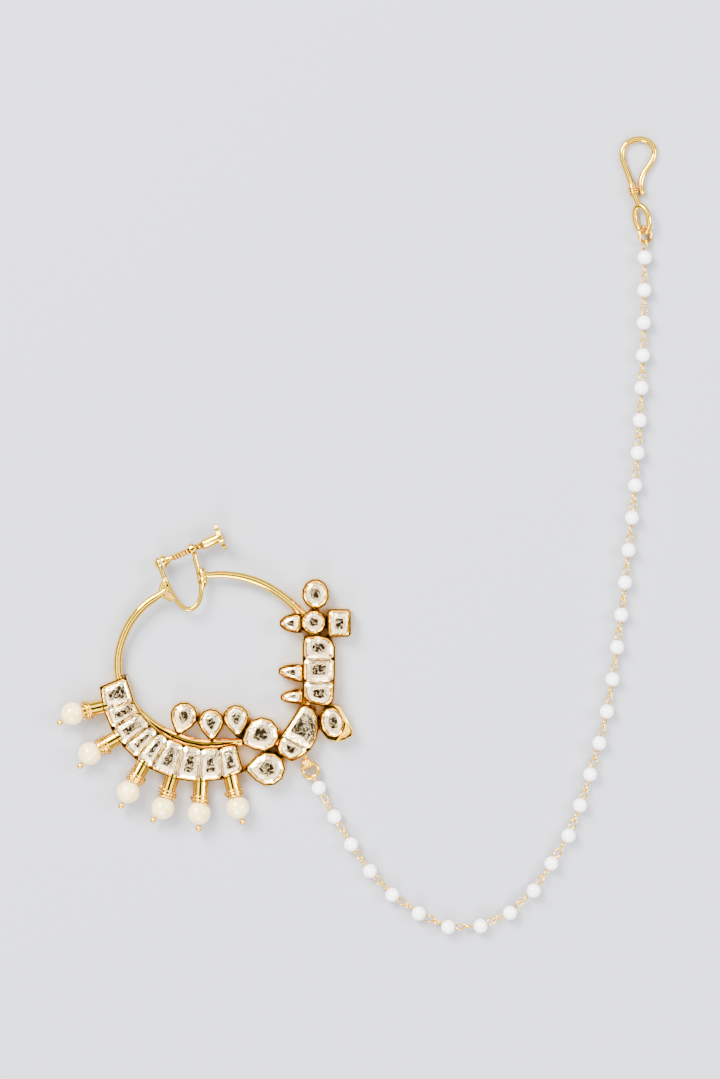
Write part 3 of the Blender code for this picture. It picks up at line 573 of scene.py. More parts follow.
@dataclass(frozen=True)
class FoiledGlass:
    """Flat cut glass over silver foil, as kundan work is set.

    The foil under each stone is pressed by hand, so it is creased: its mirror breaks into small
    bright and dark patches, and it looks silver in the middle and cream where the resin below
    shows. The clear glass on top has its own clean reflection.
    """

    name: str = "foil_backed_cut_glass"
    silver: str = "#FFE4AC"
    cream: str = "#DDB878"
    roughness: float = 0.05
    crease_mm: float = 0.80
    crease_depth_mm: float = 0.115
    scratch_mm: float = 0.30
    scratch_depth_mm: float = 0.020
    patch_mm: float = 2.6

    def make(self) -> bpy.types.Material:
        """The material."""
        material, tree, shader = blank_material(self.name)
        place = add_node(tree, "ShaderNodeTexCoord").outputs["Object"]
        crease = add_node(tree, "ShaderNodeTexNoise",
                          {"Vector": place, "Scale": per_metre(self.crease_mm), "Detail": 2.0,
                           "Distortion": 0.6})
        scratch = add_node(tree, "ShaderNodeTexVoronoi",
                           {"Vector": place, "Scale": per_metre(self.scratch_mm)},
                           feature="F1")
        creased = add_node(tree, "ShaderNodeBump",
                           {"Height": crease.outputs["Fac"], "Strength": 1.0,
                            "Distance": self.crease_depth_mm / 1000})
        scratched = add_node(tree, "ShaderNodeBump",
                             {"Height": scratch.outputs["Distance"], "Strength": 1.0,
                              "Normal": creased.outputs["Normal"],
                              "Distance": self.scratch_depth_mm / 1000})
        patch = add_node(tree, "ShaderNodeTexNoise",
                         {"Vector": place, "Scale": per_metre(self.patch_mm), "Detail": 3.0})
        share = add_node(tree, "ShaderNodeMapRange",
                         {"Value": patch.outputs["Fac"], "From Min": 0.42, "From Max": 0.68})
        tone = add_node(tree, "ShaderNodeMix",
                        {0: share.outputs["Result"], 6: colour(self.silver),
                         7: colour(self.cream)}, data_type="RGBA")
        rough = add_node(tree, "ShaderNodeMapRange",
                         {"Value": crease.outputs["Fac"], "From Min": 0.3, "From Max": 0.7,
                          "To Min": self.roughness, "To Max": self.roughness + 0.08})
        set_inputs(tree, shader, {
            "Base Color": tone.outputs[2], "Roughness": rough.outputs["Result"],
            "Normal": scratched.outputs["Normal"], "Metallic": 1.0, "Coat Weight": 1.0,
            "Coat Roughness": 0.03, "Coat IOR": 1.52})
        return material


@dataclass(frozen=True)
class PearlLustre:
    """Lustre-coated bead, dipped several times in pearl essence.

    The dips leave a satin body with a clear gloss over it, and a faint unevenness of tone that
    follows how the coats ran.
    """

    name: str
    pale: str
    deep: str
    roughness: float = 0.30
    run_mm: float = 1.8
    skin_mm: float = 0.35
    skin_depth_mm: float = 0.004

    def make(self) -> bpy.types.Material:
        """The material."""
        material, tree, shader = blank_material(self.name)
        place = add_node(tree, "ShaderNodeTexCoord").outputs["Object"]
        run = add_node(tree, "ShaderNodeTexNoise",
                       {"Vector": place, "Scale": per_metre(self.run_mm), "Detail": 2.0})
        skin = add_node(tree, "ShaderNodeTexNoise",
                        {"Vector": place, "Scale": per_metre(self.skin_mm), "Detail": 2.0})
        bump = add_node(tree, "ShaderNodeBump",
                        {"Height": skin.outputs["Fac"], "Strength": 1.0,
                         "Distance": self.skin_depth_mm / 1000})
        share = add_node(tree, "ShaderNodeMapRange",
                         {"Value": run.outputs["Fac"], "From Min": 0.3, "From Max": 0.7})
        tone = add_node(tree, "ShaderNodeMix",
                        {0: share.outputs["Result"], 6: colour(self.pale),
                         7: colour(self.deep)}, data_type="RGBA")
        set_inputs(tree, shader, {
            "Base Color": tone.outputs[2], "Normal": bump.outputs["Normal"],
            "Roughness": self.roughness, "IOR": 1.53, "Coat Weight": 1.0, "Coat Roughness": 0.06,
            "Subsurface Weight": 0.12, "Subsurface Radius": (0.0010, 0.0007, 0.0005),
            "Subsurface Scale": 1.0})
        return material


@dataclass(frozen=True)
class MattBoard:
    """Smooth pale card, uncoated: an even cool grey-white with the faintest tooth of fibre.

    Where the jewel all but covers it, the card gets a painted shadow: ambient occlusion mixes in a
    warm brown-grey that stands for the contact shadow and the warm light thrown off the gold.
    """

    name: str = "matt_card"
    face: str = "#9FA1A7"
    shadow: str = "#9A9CA3"
    # Painted shadow: the warm brown-grey of the card's contact shadow under and beside the jewel
    painted_contact_shadow: str = "#9C8A76"
    tooth_mm: float = 0.8
    # How far ambient occlusion looks for the jewel when painting the shadow
    painted_shadow_mm: float = 4.0

    def make(self) -> bpy.types.Material:
        """The material."""
        material, tree, shader = blank_material(self.name)
        place = add_node(tree, "ShaderNodeTexCoord").outputs["Object"]
        tooth = add_node(tree, "ShaderNodeTexNoise",
                         {"Vector": place, "Scale": per_metre(self.tooth_mm), "Detail": 4.0})
        tone = add_node(tree, "ShaderNodeMix",
                        {0: tooth.outputs["Fac"], 6: colour(self.shadow),
                         7: colour(self.face)}, data_type="RGBA")
        # Painted shadow: ambient occlusion mixes the warm brown-grey in where the jewel covers the
        # card
        painted_shadow_ao = add_node(tree, "ShaderNodeAmbientOcclusion",
                         {"Distance": self.painted_shadow_mm / 1000}, samples=3)
        share = add_node(tree, "ShaderNodeMapRange",
                         {"Value": painted_shadow_ao.outputs["AO"], "From Min": 0.15, "From Max": 0.6})
        painted_shadow_tone = add_node(tree, "ShaderNodeMix",
                          {0: share.outputs["Result"], 6: colour(self.painted_contact_shadow),
                           7: tone.outputs[2]}, data_type="RGBA")
        set_inputs(tree, shader, {"Base Color": painted_shadow_tone.outputs[2], "Roughness": 0.85,
                                  "Specular IOR Level": 0.2})
        return material


@dataclass(frozen=True)
class Finish:
    """A material with the record's slot that it belongs to."""

    material: bpy.types.Material
    slot: Slot


class Finishes:
    """Every finish of the jewel, each made once."""

    def __init__(self) -> None:
        """Makes the finishes."""
        self.gold = Finish(PlatedGold().make(), Slot.GOLD)
        self.worked_gold = Finish(PlatedGold(
            name="granulated_gold_plating", roughness=0.2, wave_mm=0.5, wave_depth_mm=0.05,
            grain_mm=0.14, grain_depth_mm=0.012).make(), Slot.GOLD)
        self.glass = Finish(FoiledGlass().make(), Slot.GLASS)
        self.cream_pearl = Finish(
            PearlLustre("cream_pearl_lustre", "#FBE8A8", "#EACF84").make(), Slot.DROP_PEARL)
        self.white_pearl = Finish(
            PearlLustre("white_pearl_lustre", "#FCFBF8", "#F2F0EC").make(), Slot.CHAIN_BEAD)


def hand_over(piece: bpy.types.Object, finish: Finish, node: str, body: Body = Body.ROOT) -> None:
    """Dresses a finished piece and makes it ride.

    Args:
        piece: The finished piece.
        finish: Its finish.
        node: The node that it stands for.
        body: The body that it rides on.
    """
    piece.data.materials.clear()
    piece.data.materials.append(finish.material)
    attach(piece, body.value)
    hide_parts(node)
    LOG.info("%s: %d faces, rides on %s", piece.name, len(piece.data.polygons), body.value)


@dataclass
class ScrewLine:
    """The line of the clip's screw, which several pieces share."""

    start: tuple[float, float] = (-0.477, 1.018)
    aim: float = 23.1
    span: float = 0.00737
    height: float = 0.0058 / 2 + SURFACE_GAP

    def place(self) -> Matrix:
        """The screw's frame: X along the screw, the pads' meeting face at its origin."""
        return (Matrix.Translation(plan(*self.start, self.height))
                @ Matrix.Rotation(math.radians(self.aim), 4, "Z"))

    def point(self, along: float, across: float, lift: float = 0.0) -> Vector:
        """A point given in shares of the span, along and across the screw."""
        return self.place() @ Vector((along * self.span, across * self.span, lift))


# The bow from pad to collar, in shares of the screw line's span along and across it
BOW_ROUTE = (
    (-0.08, -0.01), (-0.08, -0.19), (-0.08, -0.47), (-0.07, -0.76), (-0.05, -1.01),
    (0.00, -1.25), (0.08, -1.44), (0.19, -1.56), (0.34, -1.59), (0.52, -1.52),
    (0.67, -1.36), (0.79, -1.13), (0.85, -0.90), (0.90, -0.67), (0.94, -0.43), (0.97, -0.26),
)

# The hoop from leg to leg, in shares of its radius, with its lift from the surface (0) to the
# screw's height (1)
HOOP_ROUTE = (
    (-0.487, 0.700, 1.00), (-0.627, 0.605, 0.95), (-0.757, 0.463, 0.85), (-0.852, 0.288, 0.70),
    (-0.905, 0.098, 0.50), (-0.909, -0.077, 0.30), (-0.872, -0.232, 0.12), (-0.792, -0.377, 0.00),
    (-0.672, -0.502, 0.00), (-0.525, -0.622, 0.00), (-0.345, -0.715, 0.00), (-0.117, -0.782, 0.00),
    (0.093, -0.787, 0.00), (0.313, -0.780, 0.00), (0.533, -0.757, 0.00), (0.683, -0.782, 0.00),
    (0.793, -0.752, 0.00), (0.893, -0.592, 0.00), (0.963, -0.412, 0.00), (1.033, -0.272, 0.00),
    (1.083, -0.052, 0.00), (1.083, 0.178, 0.00), (1.033, 0.388, 0.05), (0.903, 0.533, 0.25),
    (0.743, 0.678, 0.45), (0.553, 0.798, 0.65), (0.343, 0.872, 0.82), (0.133, 0.900, 0.95),
    (-0.017, 0.894, 1.00),
)


@dataclass
class HoopAndClip:
    """The hoop's polished wire, and the bow, pad and collar of the clip that close it."""

    screw: ScrewLine
    wire: float = 0.0018
    bow_wire: float = 0.00110
    taper: float = 0.72
    fold_taper: float = 0.45
    pad: float = 0.0029
    pad_thickness: float = 0.0009
    collar: float = 0.0029
    collar_length: float = 0.0011
    collar_edge: float = 0.00012
    bore: float = 0.0019
    left_leg: int = 3
    right_leg: int = 13
    # The wire's full share of its radius, and the shares of the route that its thin ends take
    full: float = 1.02
    right_share: float = 0.10
    left_share: float = 0.035
    bow_step: float = 0.0003
    hoop_step: float = 0.0006
    solder_grain: float = 0.00008
    solder_rounds: int = 4
    # The folded end of the hoop: the radius of each fold and its path in the photograph
    folds: tuple[tuple[float, tuple[tuple[float, float], ...]], ...] = (
        (0.00062, ((160.5, 592.5), (161.5, 586.5), (163.6, 581.0), (166.6, 576.5))),
        (0.00056, ((164.5, 593.0), (166.0, 587.0), (167.0, 581.0))),
        (0.00058, ((160.5, 593.0), (166.0, 595.0), (173.0, 598.5))),
    )
    # The bulb of solder along the right leg, with its middle in the photograph and its angle
    bulb_rows: tuple[tuple[float, float], ...] = (
        (-0.0022, 0.0002), (-0.0018, 0.00070), (-0.0011, 0.00100), (-0.0004, 0.00086),
        (0.0001, 0.00070), (0.0006, 0.00088), (0.0012, 0.00096), (0.0018, 0.00060),
        (0.0024, 0.0002),
    )
    bulb_place: tuple[float, float] = (202.6, 575.5)
    bulb_aim: float = -82.0

    def route(self) -> list[Vector]:
        """The hoop's route from leg to leg."""
        low = self.wire / 2 + SURFACE_GAP
        high = self.screw.height
        points = [self.screw.point(*BOW_ROUTE[self.left_leg])]
        points += [plan(x, y, low + (high - low) * lift) for x, y, lift in HOOP_ROUTE]
        points.append(self.screw.point(*BOW_ROUTE[self.right_leg]))
        return smooth_route(points, self.hoop_step)

    def hoop(self) -> bpy.types.Object:
        """The hoop's wire, thinned towards both of the clip's legs."""
        route = self.route()
        count = len(route)
        radii = []
        for index in range(count):
            rest = min(1.0, (count - 1 - index) / count / self.right_share)
            thinned = self.taper + (self.full - self.taper) * rest
            radii.append(min(thinned, self.fold_taper + (self.full - self.fold_taper) * index
                             / (count * self.left_share)))
        return draw_wire("hoop_wire", route, self.wire / 2, detail=10, radii=radii)

    def bow(self) -> bpy.types.Object:
        """The bow with its gusset and its bulb of solder, run together."""
        points = [self.screw.point(*row) for row in BOW_ROUTE]
        points.append(self.screw.place() @ Vector((self.screw.span, -self.collar * 0.42, 0)))
        route = smooth_route(points, self.bow_step)
        pieces = [draw_wire("bow", route, self.bow_wire / 2, detail=6)]
        level = self.screw.height
        for size, spots in self.folds:
            rib = smooth_route([pixel(x, y, level) for x, y in spots], self.bow_step)
            pieces.append(draw_wire("fold", rib, size, detail=4))
        bulb = turn_piece("bulb", self.bulb_rows, 20)
        spot = pixel(*self.bulb_place, level)
        pieces.append(move_into_place(bulb, facing(spot, heading(self.bulb_aim)) @ LATHE_TO_X))
        end = plan(HOOP_ROUTE[-1][0], HOOP_ROUTE[-1][1], level)
        pieces.append(draw_wire("heel", [spot, end], self.wire * 0.4, detail=4))
        whole = join(pieces, "clip_bow")
        flow_together(whole, self.solder_grain, self.solder_rounds)
        return whole

    def fixed_pad(self) -> bpy.types.Object:
        """The pad at the bow's left end, coned behind and flat in front."""
        thick = self.pad_thickness
        rows = [(-thick * 1.6, self.pad * 0.16), (-thick * 1.45, self.pad * 0.24),
                (-thick, self.pad * 0.42), (-thick * 0.6, self.pad * 0.49),
                (-thick * 0.12, self.pad * 0.5), (0.0, self.pad * 0.485)]
        piece = turn_piece("fixed_pad", rows)
        return move_into_place(piece, self.screw.place() @ LATHE_TO_X)

    def collar_piece(self) -> bpy.types.Object:
        """The bored collar that the screw runs in."""
        put_down()
        bpy.ops.mesh.primitive_cylinder_add(vertices=40, radius=self.collar / 2,
                                            depth=self.collar_length, end_fill_type="NGON")
        piece = added("collar")
        open_up(piece)
        pick(piece, Part.FACES, lambda face: abs(face.normal.z) > 0.9)
        bpy.ops.mesh.inset(thickness=(self.collar - self.bore) / 2)
        bpy.ops.mesh.bridge_edge_loops()
        pick(piece, Part.EDGES, lambda edge: edge.calc_face_angle(0.0) > 1.0)
        bpy.ops.mesh.bevel(offset=self.collar_edge, segments=3, affect="EDGES")
        face_outwards(piece)
        shade(piece)
        return move_into_place(piece, self.screw.place()
                               @ Matrix.Translation((self.screw.span, 0, 0)) @ LATHE_TO_X)

    def build(self, finishes: Finishes) -> None:
        """Builds and dresses the hoop and the clip's fixed pieces."""
        for model in (self.hoop, self.bow, self.fixed_pad, self.collar_piece):
            hand_over(model(), finishes.gold, "setting_frame")


@dataclass
class ThumbScrew:
    """The moving side of the clip: its pad, and the screw with thread, sleeve and knurled disc."""

    screw: ScrewLine
    gap: float = 0.0003
    pad: float = 0.0029
    pad_thickness: float = 0.0009
    hub: float = 0.0019
    hub_length: float = 0.0007
    shank: float = 0.0016
    length: float = 0.0084
    pitch: float = 0.0007
    depth: float = 0.00026
    thread_sides: int = 24
    tip: float = 0.0007
    sleeve: float = 0.0022
    sleeve_length: float = 0.0036
    disc: float = 0.0058
    disc_thickness: float = 0.0008
    teeth: int = 28
    notch: float = 0.955
    # The steps from the disc's edge to its dished middle: share of the last radius, and sink
    dish: tuple[tuple[float, float], ...] = ((0.955, 0.0), (0.93, 0.00006), (0.62, 0.00004))

    def place(self) -> Matrix:
        """The screw's frame, a little in front of the fixed pad, with Z along the screw."""
        return self.screw.place() @ Matrix.Translation((self.gap, 0, 0)) @ LATHE_TO_X

    def pad_piece(self) -> bpy.types.Object:
        """The pad that the screw pushes, with the hub that holds the screw's tip."""
        thick = self.pad_thickness
        rows = [(0.0, self.pad * 0.485), (thick * 0.2, self.pad * 0.5),
                (thick * 0.7, self.pad * 0.5), (thick, self.pad * 0.47),
                (thick * 1.02, self.hub * 0.56), (thick * 1.2, self.hub * 0.5),
                (thick + self.hub_length * 0.9, self.hub * 0.5),
                (thick + self.hub_length, self.hub * 0.44)]
        return move_into_place(turn_piece("screw_pad_disc", rows), self.place())

    def thread(self) -> bpy.types.Object:
        """The cut thread, from a ridge swept round the shank."""
        start = self.pad_thickness + self.hub_length + self.gap
        core = self.shank / 2 - self.depth
        put_down()
        bpy.ops.mesh.primitive_plane_add(size=1)
        ridge = added("thread")
        open_up(ridge)
        shape = bmesh.from_edit_mesh(ridge.data)
        bmesh.ops.delete(shape, geom=shape.verts[:], context="VERTS")
        points = [shape.verts.new((core, 0, start)),
                  shape.verts.new((core + self.depth, 0, start + self.pitch * 0.5)),
                  shape.verts.new((core, 0, start + self.pitch))]
        for low, high in zip(points, points[1:]):
            shape.edges.new((low, high))
        bmesh.update_edit_mesh(ridge.data)
        put_down()
        turns = round((self.length - self.pitch) / self.pitch)
        apply(ridge, "SCREW", axis="Z", angle=2 * math.pi, screw_offset=self.pitch,
              steps=self.thread_sides, render_steps=self.thread_sides, iterations=turns,
              use_merge_vertices=True)
        weld(ridge)
        put_down()
        shade(ridge, 20)
        return ridge

    def shaft(self) -> bpy.types.Object:
        """The tip, core and sleeve, turned in one."""
        floor = self.pad_thickness + self.gap
        shoulder = floor + self.hub_length
        core = self.shank / 2 - self.depth
        end = shoulder + self.length
        sleeve_start = end - self.pitch
        hub_end = self.pad_thickness + self.hub_length + self.tip * 0.05
        rows = [(floor, self.tip * 0.35), (floor + 0.0001, self.tip * 0.5),
                (hub_end, self.tip * 0.5), (hub_end + 0.00002, core * 0.97),
                (shoulder + 0.0001, core * 1.01),
                (sleeve_start - self.sleeve * 0.3, core * 1.01),
                (sleeve_start - self.sleeve * 0.28, self.sleeve * 0.36),
                (sleeve_start, self.sleeve * 0.48), (sleeve_start + 0.0001, self.sleeve * 0.5),
                (sleeve_start + self.sleeve_length * 0.8, self.sleeve * 0.5),
                (sleeve_start + self.sleeve_length, self.sleeve * 0.56),
                (sleeve_start + self.sleeve_length + self.disc_thickness * 0.8,
                 self.sleeve * 0.56)]
        return turn_piece("shaft", rows)

    def disc_piece(self) -> bpy.types.Object:
        """The thumb disc: knurled round its edge and dished on its face."""
        start = self.pad_thickness + self.gap + self.hub_length + self.length
        start += self.sleeve_length - self.pitch
        put_down()
        bpy.ops.mesh.primitive_cylinder_add(
            vertices=self.teeth * 4, radius=self.disc / 2, depth=self.disc_thickness,
            end_fill_type="NGON", location=(0, 0, start + self.disc_thickness / 2))
        piece = added("knurled_disc")
        open_up(piece)
        step = 2 * math.pi / (self.teeth * 4)
        pick(piece, Part.VERTICES, lambda vertex: round(
            math.atan2(vertex.co.y, vertex.co.x) / step) % 4 in (0, 1))
        bpy.ops.transform.resize(value=(self.notch, self.notch, 1), center_override=(0, 0, start))
        for side in (-1, 1):
            pick(piece, Part.FACES, lambda face: face.normal.z * side > 0.9)
            for share, sink in self.dish:
                step_on((0, 0, -side * sink), share)
        face_outwards(piece)
        shade(piece, 25)
        return piece

    def build(self, finishes: Finishes) -> None:
        """Builds and dresses the screw and its pad."""
        hand_over(self.pad_piece(), finishes.gold, "pressure_pad", Body.PAD)
        whole = join([self.shaft(), self.thread()], "threaded_screw")
        hand_over(move_into_place(whole, self.place()), finishes.gold, "thumb_screw", Body.SCREW)
        hand_over(move_into_place(self.disc_piece(), self.place()), finishes.worked_gold,
                  "thumb_screw", Body.SCREW)


@dataclass
class Trays:
    """The gold trays, from the frame's own walls with their rims rounded over."""

    rim_height: float = 0.0035
    # The least turn in degrees that makes an edge of the rim, and how far it is rounded
    rim_turn: float = 50.0
    rounding: float = 0.00013
    # Where the frame is wire, not tray: low x, high x, low y and high y in shares of the hoop's
    # radius
    wires: tuple[tuple[float, float, float, float], ...] = (
        (-9.0, 0.60, -0.10, 9.0), (-9.0, 0.74, 0.58, 9.0), (-9.0, -0.80, -0.115, 9.0),
        (-9.0, 0.86, 0.56, 9.0), (0.925, 1.08, -1.15, -0.975),
    )
    # The pocket behind the paisley's tip: its corners in the photograph and its floor at each
    pocket: tuple[tuple[float, float, float], ...] = (
        (345.6, 720.6, 0.0032), (346.6, 721.6, 0.0032), (350.9, 729.7, 0.0027),
        (349.4, 732.6, 0.0025), (343.9, 736.2, 0.0025), (338.9, 737.2, 0.0027),
        (342.6, 731.4, 0.0028), (344.9, 726.0, 0.0030))
    # The outer edge of that tip, which slopes: right of a place, and from a reach to twice that
    # from the stone's middle, in the photograph's pixels
    tip_middle: tuple[float, float] = (332.3, 720.7)
    tip_from: float = 339.5
    tip_reach: float = 15.0
    tip_drop: float = 0.00025

    def is_wire(self, place: Vector) -> bool:
        """Whether a place is on the free wire of the hoop, the clip, or the chain's loop."""
        x = (place.x - HOOP_MIDDLE.x) / RADIUS
        y = (place.y - HOOP_MIDDLE.y) / RADIUS
        return any(left < x < right and low < y < high
                   for left, right, low, high in self.wires)

    def sink_pocket(self, trays: bpy.types.Object) -> None:
        """Sinks the crescent pocket behind the paisley's curled tip."""
        put_down()
        size = 0.001
        bpy.ops.mesh.primitive_cylinder_add(vertices=len(self.pocket), radius=size,
                                            depth=2 * size, end_fill_type="NGON")
        cutter = added("pocket")
        open_up(cutter)
        corners = arc(Vector((0, 0, 0)), Vector((0, size, 0)), Vector((size, 0, 0)),
                      len(self.pocket))
        for corner, (x, y, floor) in zip(corners, self.pocket):
            for level, height in ((-size, floor), (size, self.rim_height + size)):
                start = corner + Vector((0, 0, level))
                pick(cutter, Part.VERTICES, lambda vertex: (vertex.co - start).length < size / 5)
                bpy.ops.transform.translate(value=pixel(x, y, height) - start)
        face_outwards(cutter)
        apply(trays, "BOOLEAN", object=cutter, operation="DIFFERENCE", solver="EXACT")
        bin_piece(cutter)

    def is_tip(self, place: Vector) -> bool:
        """Whether a place is on the outer edge of the paisley's curled tip."""
        middle = pixel(*self.tip_middle)
        start = pixel(self.tip_from, self.tip_middle[1])
        reach = self.tip_reach * PIXEL
        return (place.z > self.rim_height - 0.0001 and place.x > start.x
                and reach < (place - middle).xy.length < 2 * reach)

    def build(self, finishes: Finishes) -> None:
        """Rounds the rims of a copy of the frame, without its wire, and dresses it."""
        trays = copy_of(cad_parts["setting_frame"], "gold_trays")
        weld(trays)
        self.sink_pocket(trays)
        open_up(trays)
        pick(trays, Part.FACES, lambda face: self.is_wire(face.calc_center_median()))
        bpy.ops.mesh.delete(type="FACE")
        pick(trays, Part.FACES, lambda face: face.normal.z < 0.9)
        bpy.ops.mesh.dissolve_limited(angle_limit=math.radians(1.0))
        pick(trays, Part.VERTICES, lambda vertex: self.is_tip(vertex.co))
        bpy.ops.transform.translate(value=(0, 0, -self.tip_drop))
        top = self.rim_height - self.tip_drop - 0.00002
        count = pick(trays, Part.EDGES, lambda edge: (
            min(vertex.co.z for vertex in edge.verts) > top
            and len(edge.link_faces) == 2
            and edge.calc_face_angle(0.0) > math.radians(self.rim_turn)))
        bpy.ops.mesh.bevel(offset=self.rounding, segments=3, affect="EDGES",
                           clamp_overlap=True)
        put_down()
        shade(trays, 40)
        LOG.info("rounded %d rim edges", count)
        hand_over(trays, finishes.gold, "setting_frame")


@dataclass
class Stones:
    """The foiled glass stones, recut from the plain ones with two rings of facets and a table."""

    swell: float = 1.035
    first_ring: float = 1.16
    first_drop: float = -0.00020
    second_ring: float = 0.54
    second_rise: float = 0.00020
    # The facets' edges: how softened, the least turn in degrees, and how high over the foot
    edge: float = 0.00003
    edge_turn: float = 4.0
    edge_height: float = 0.0005
    band_lean: float = 0.00045

    def lean(self, name: str, centre: Vector) -> Vector:
        """How far a stone's table sits off its middle, towards the band's outer rim."""
        if not name.startswith("band"):
            return Vector((0, 0, 0))
        return (centre - HOOP_MIDDLE).normalized() * self.band_lean

    def recut(self, name: str) -> bpy.types.Object:
        """Recuts one stone.

        Args:
            name: The stone's node.

        Returns:
            The stone.
        """
        low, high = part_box(name)
        piece = copy_of(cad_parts[name], name + "_cut")
        centre = (low + high) / 2
        weld(piece)
        bpy.ops.transform.resize(value=(self.swell, self.swell, 1), center_override=centre)
        bpy.ops.mesh.dissolve_limited(angle_limit=math.radians(0.5))
        pick(piece, Part.FACES, lambda face: face.normal.z > 0.99)
        shape = bmesh.from_edit_mesh(piece.data)
        table = [face for face in shape.faces if face.select]
        middle = table[0].calc_center_median()
        shift = self.lean(name, middle)
        bpy.ops.transform.resize(value=(self.first_ring, self.first_ring, 1),
                                 center_override=middle)
        bpy.ops.transform.translate(value=(0, 0, self.first_drop))
        step_on((shift.x, shift.y, self.second_rise), self.second_ring, middle + shift)
        pick(piece, Part.EDGES, lambda edge: (
            edge.calc_face_angle(0.0) > math.radians(self.edge_turn)
            and min(vertex.co.z for vertex in edge.verts) > low.z + self.edge_height))
        bpy.ops.mesh.bevel(offset=self.edge, segments=1, affect="EDGES", clamp_overlap=True)
        face_outwards(piece)
        shade(piece, 8)
        return piece

    def build(self, finishes: Finishes) -> None:
        """Recuts and dresses every stone."""
        for name in sorted(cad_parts):
            if "_stone" in name:
                hand_over(self.recut(name), finishes.glass, name)


@dataclass
class PearlDrops:
    """The six drops: a tube with loose turns of wire round it, and a pearl on a pin."""

    tube: float = 0.0033
    length: float = 0.0047
    height: float = 0.0018
    cup_wall: float = 0.0003
    cup_depth: float = 0.0016
    sink: float = 0.0002
    pearl: float = 0.0050
    pin: float = 0.0004
    ball: float = 0.0014
    wrap_wire: float = 0.00036
    wrap_pitch: float = 0.00056
    wrap_slip: float = 0.00022
    wrap_steps: int = 26
    pin_reach: float = 0.0009
    gap: float = 0.00012
    # For each drop: angle on the band's outer rim, the tube's angle, the pearl's angle
    rows: tuple[tuple[float, float, float], ...] = (
        (194.0, 193.4, 215.4), (214.0, 210.0, 232.0), (235.5, 241.5, 243.4),
        (253.9, 253.3, 231.3), (270.8, 267.0, 268.5), (288.2, 283.5, 289.0),
    )
    rim: tuple[float, float, float] = (-0.094, -0.179, 0.998)
    # Turns of wire round each tube, and where along it they end, in shares of its length
    wraps: tuple[tuple[float, float], ...] = (
        (3.0, 0.93), (3.5, 0.95), (4.0, 0.96), (3.5, 0.99), (2.5, 0.99), (2.5, 0.96),
    )

    def seat(self) -> float:
        """From a tube's mouth to the centre of the pearl in it."""
        mouth = self.tube / 2 - self.cup_wall
        return math.sqrt((self.pearl / 2) ** 2 - mouth ** 2) + self.gap

    def places(self) -> list[tuple[Matrix, Matrix]]:
        """For each drop its tube's frame and its pearl's frame, both with X outwards."""
        distance = self.length + self.seat()
        pitch = math.asin((self.pearl / 2 + SURFACE_GAP - self.height) / distance)
        frames = []
        for rim_angle, tube_angle, pearl_angle in self.rows:
            reach = self.rim[2] * RADIUS - self.sink
            start = plan(self.rim[0], self.rim[1], self.height) + heading(rim_angle) * reach
            tube_place = (Matrix.Translation(start)
                          @ Matrix.Rotation(math.radians(tube_angle), 4, "Z")
                          @ Matrix.Rotation(-pitch, 4, "Y"))
            centre = tube_place @ Vector((distance, 0, 0))
            pearl_place = (Matrix.Translation(centre)
                           @ Matrix.Rotation(math.radians(pearl_angle), 4, "Z"))
            frames.append((tube_place, pearl_place))
        return frames

    def tube_pattern(self) -> bpy.types.Object:
        """A tube with a rolled mouth and a cup for the pearl."""
        radius = self.tube / 2 + 0.00001
        mouth = radius - self.cup_wall
        bead = radius + 0.00008
        rows = [(-0.0006, radius), (self.length - 0.00055, radius),
                (self.length - 0.00045, bead), (self.length - 0.00015, bead),
                (self.length, radius - 0.00006), (self.length - 0.00008, mouth),
                (self.length - self.cup_depth, mouth * 0.96)]
        piece = turn_piece("drop_tube", rows)
        return move_into_place(piece, LATHE_TO_X)

    def wrap(self, number: int) -> bpy.types.Object:
        """Loose, uneven turns of fine wire round one tube, its ends tucked in.

        Args:
            number: The drop's number, from 0.

        Returns:
            The coil, about the X of its tube.
        """
        turns, end_share = self.wraps[number]
        chance = random.Random(40 + number)
        start = self.length * end_share - turns * self.wrap_pitch
        base = self.tube / 2 + self.wrap_wire / 2 + 0.00003
        sways = [(chance.uniform(0.05, 0.14) / 1000, chance.uniform(0.7, 2.3),
                  chance.uniform(0, 6.3)) for _ in range(3)]
        route = []
        steps = round(self.wrap_steps * turns)
        for step in range(steps + 1):
            angle = 2 * math.pi * turns * step / steps + number
            share = step / steps
            lift = sum(size * (1 + math.sin(angle * rate + phase)) for size, rate, phase in sways)
            slip = self.wrap_slip * math.sin(angle * 0.83 + number)
            radius = base + lift * math.sin(math.pi * share)
            height = radius * math.sin(angle)
            floor = SURFACE_GAP + self.wrap_wire / 2 + 0.00002 - self.height
            route.append(Vector((start + self.wrap_pitch * turns * share + slip,
                                 radius * math.cos(angle), max(height, floor))))
        tail = route[-1]
        route += [tail + Vector((0.0002, 0, 0.0001)), tail + Vector((0.0004, -0.0001, 0.0))]
        return draw_wire("wrap", route, self.wrap_wire / 2, detail=2)

    def pearl_pattern(self) -> bpy.types.Object:
        """A drilled round pearl with a soft dimple at each end of its hole."""
        return move_into_place(drilled_bead("pearl", self.pearl, 40, 20), LATHE_TO_X)

    def pin_piece(self, tube_place: Matrix, pearl_place: Matrix) -> bpy.types.Object:
        """The pin through a pearl with the ball that holds it.

        Args:
            tube_place: The tube's frame.
            pearl_place: The pearl's frame.

        Returns:
            The pin.
        """
        radius = self.pearl / 2
        way = pearl_place.to_3x3().col[0]
        centre = pearl_place.translation
        ball_centre = centre + way * (radius + self.ball / 2 + 0.0001)
        inside = tube_place @ Vector((self.length - self.pin_reach, 0, 0))
        shank = draw_wire("shank", [ball_centre, centre + way * radius, centre - way * radius,
                                    centre - way * (radius + self.pin), inside],
                          self.pin / 2, detail=3)
        ball = drilled_bead("ball", self.ball, 24, 12)
        move_into_place(ball, facing(ball_centre, way) @ LATHE_TO_X)
        return join([shank, ball], "ball_pin")

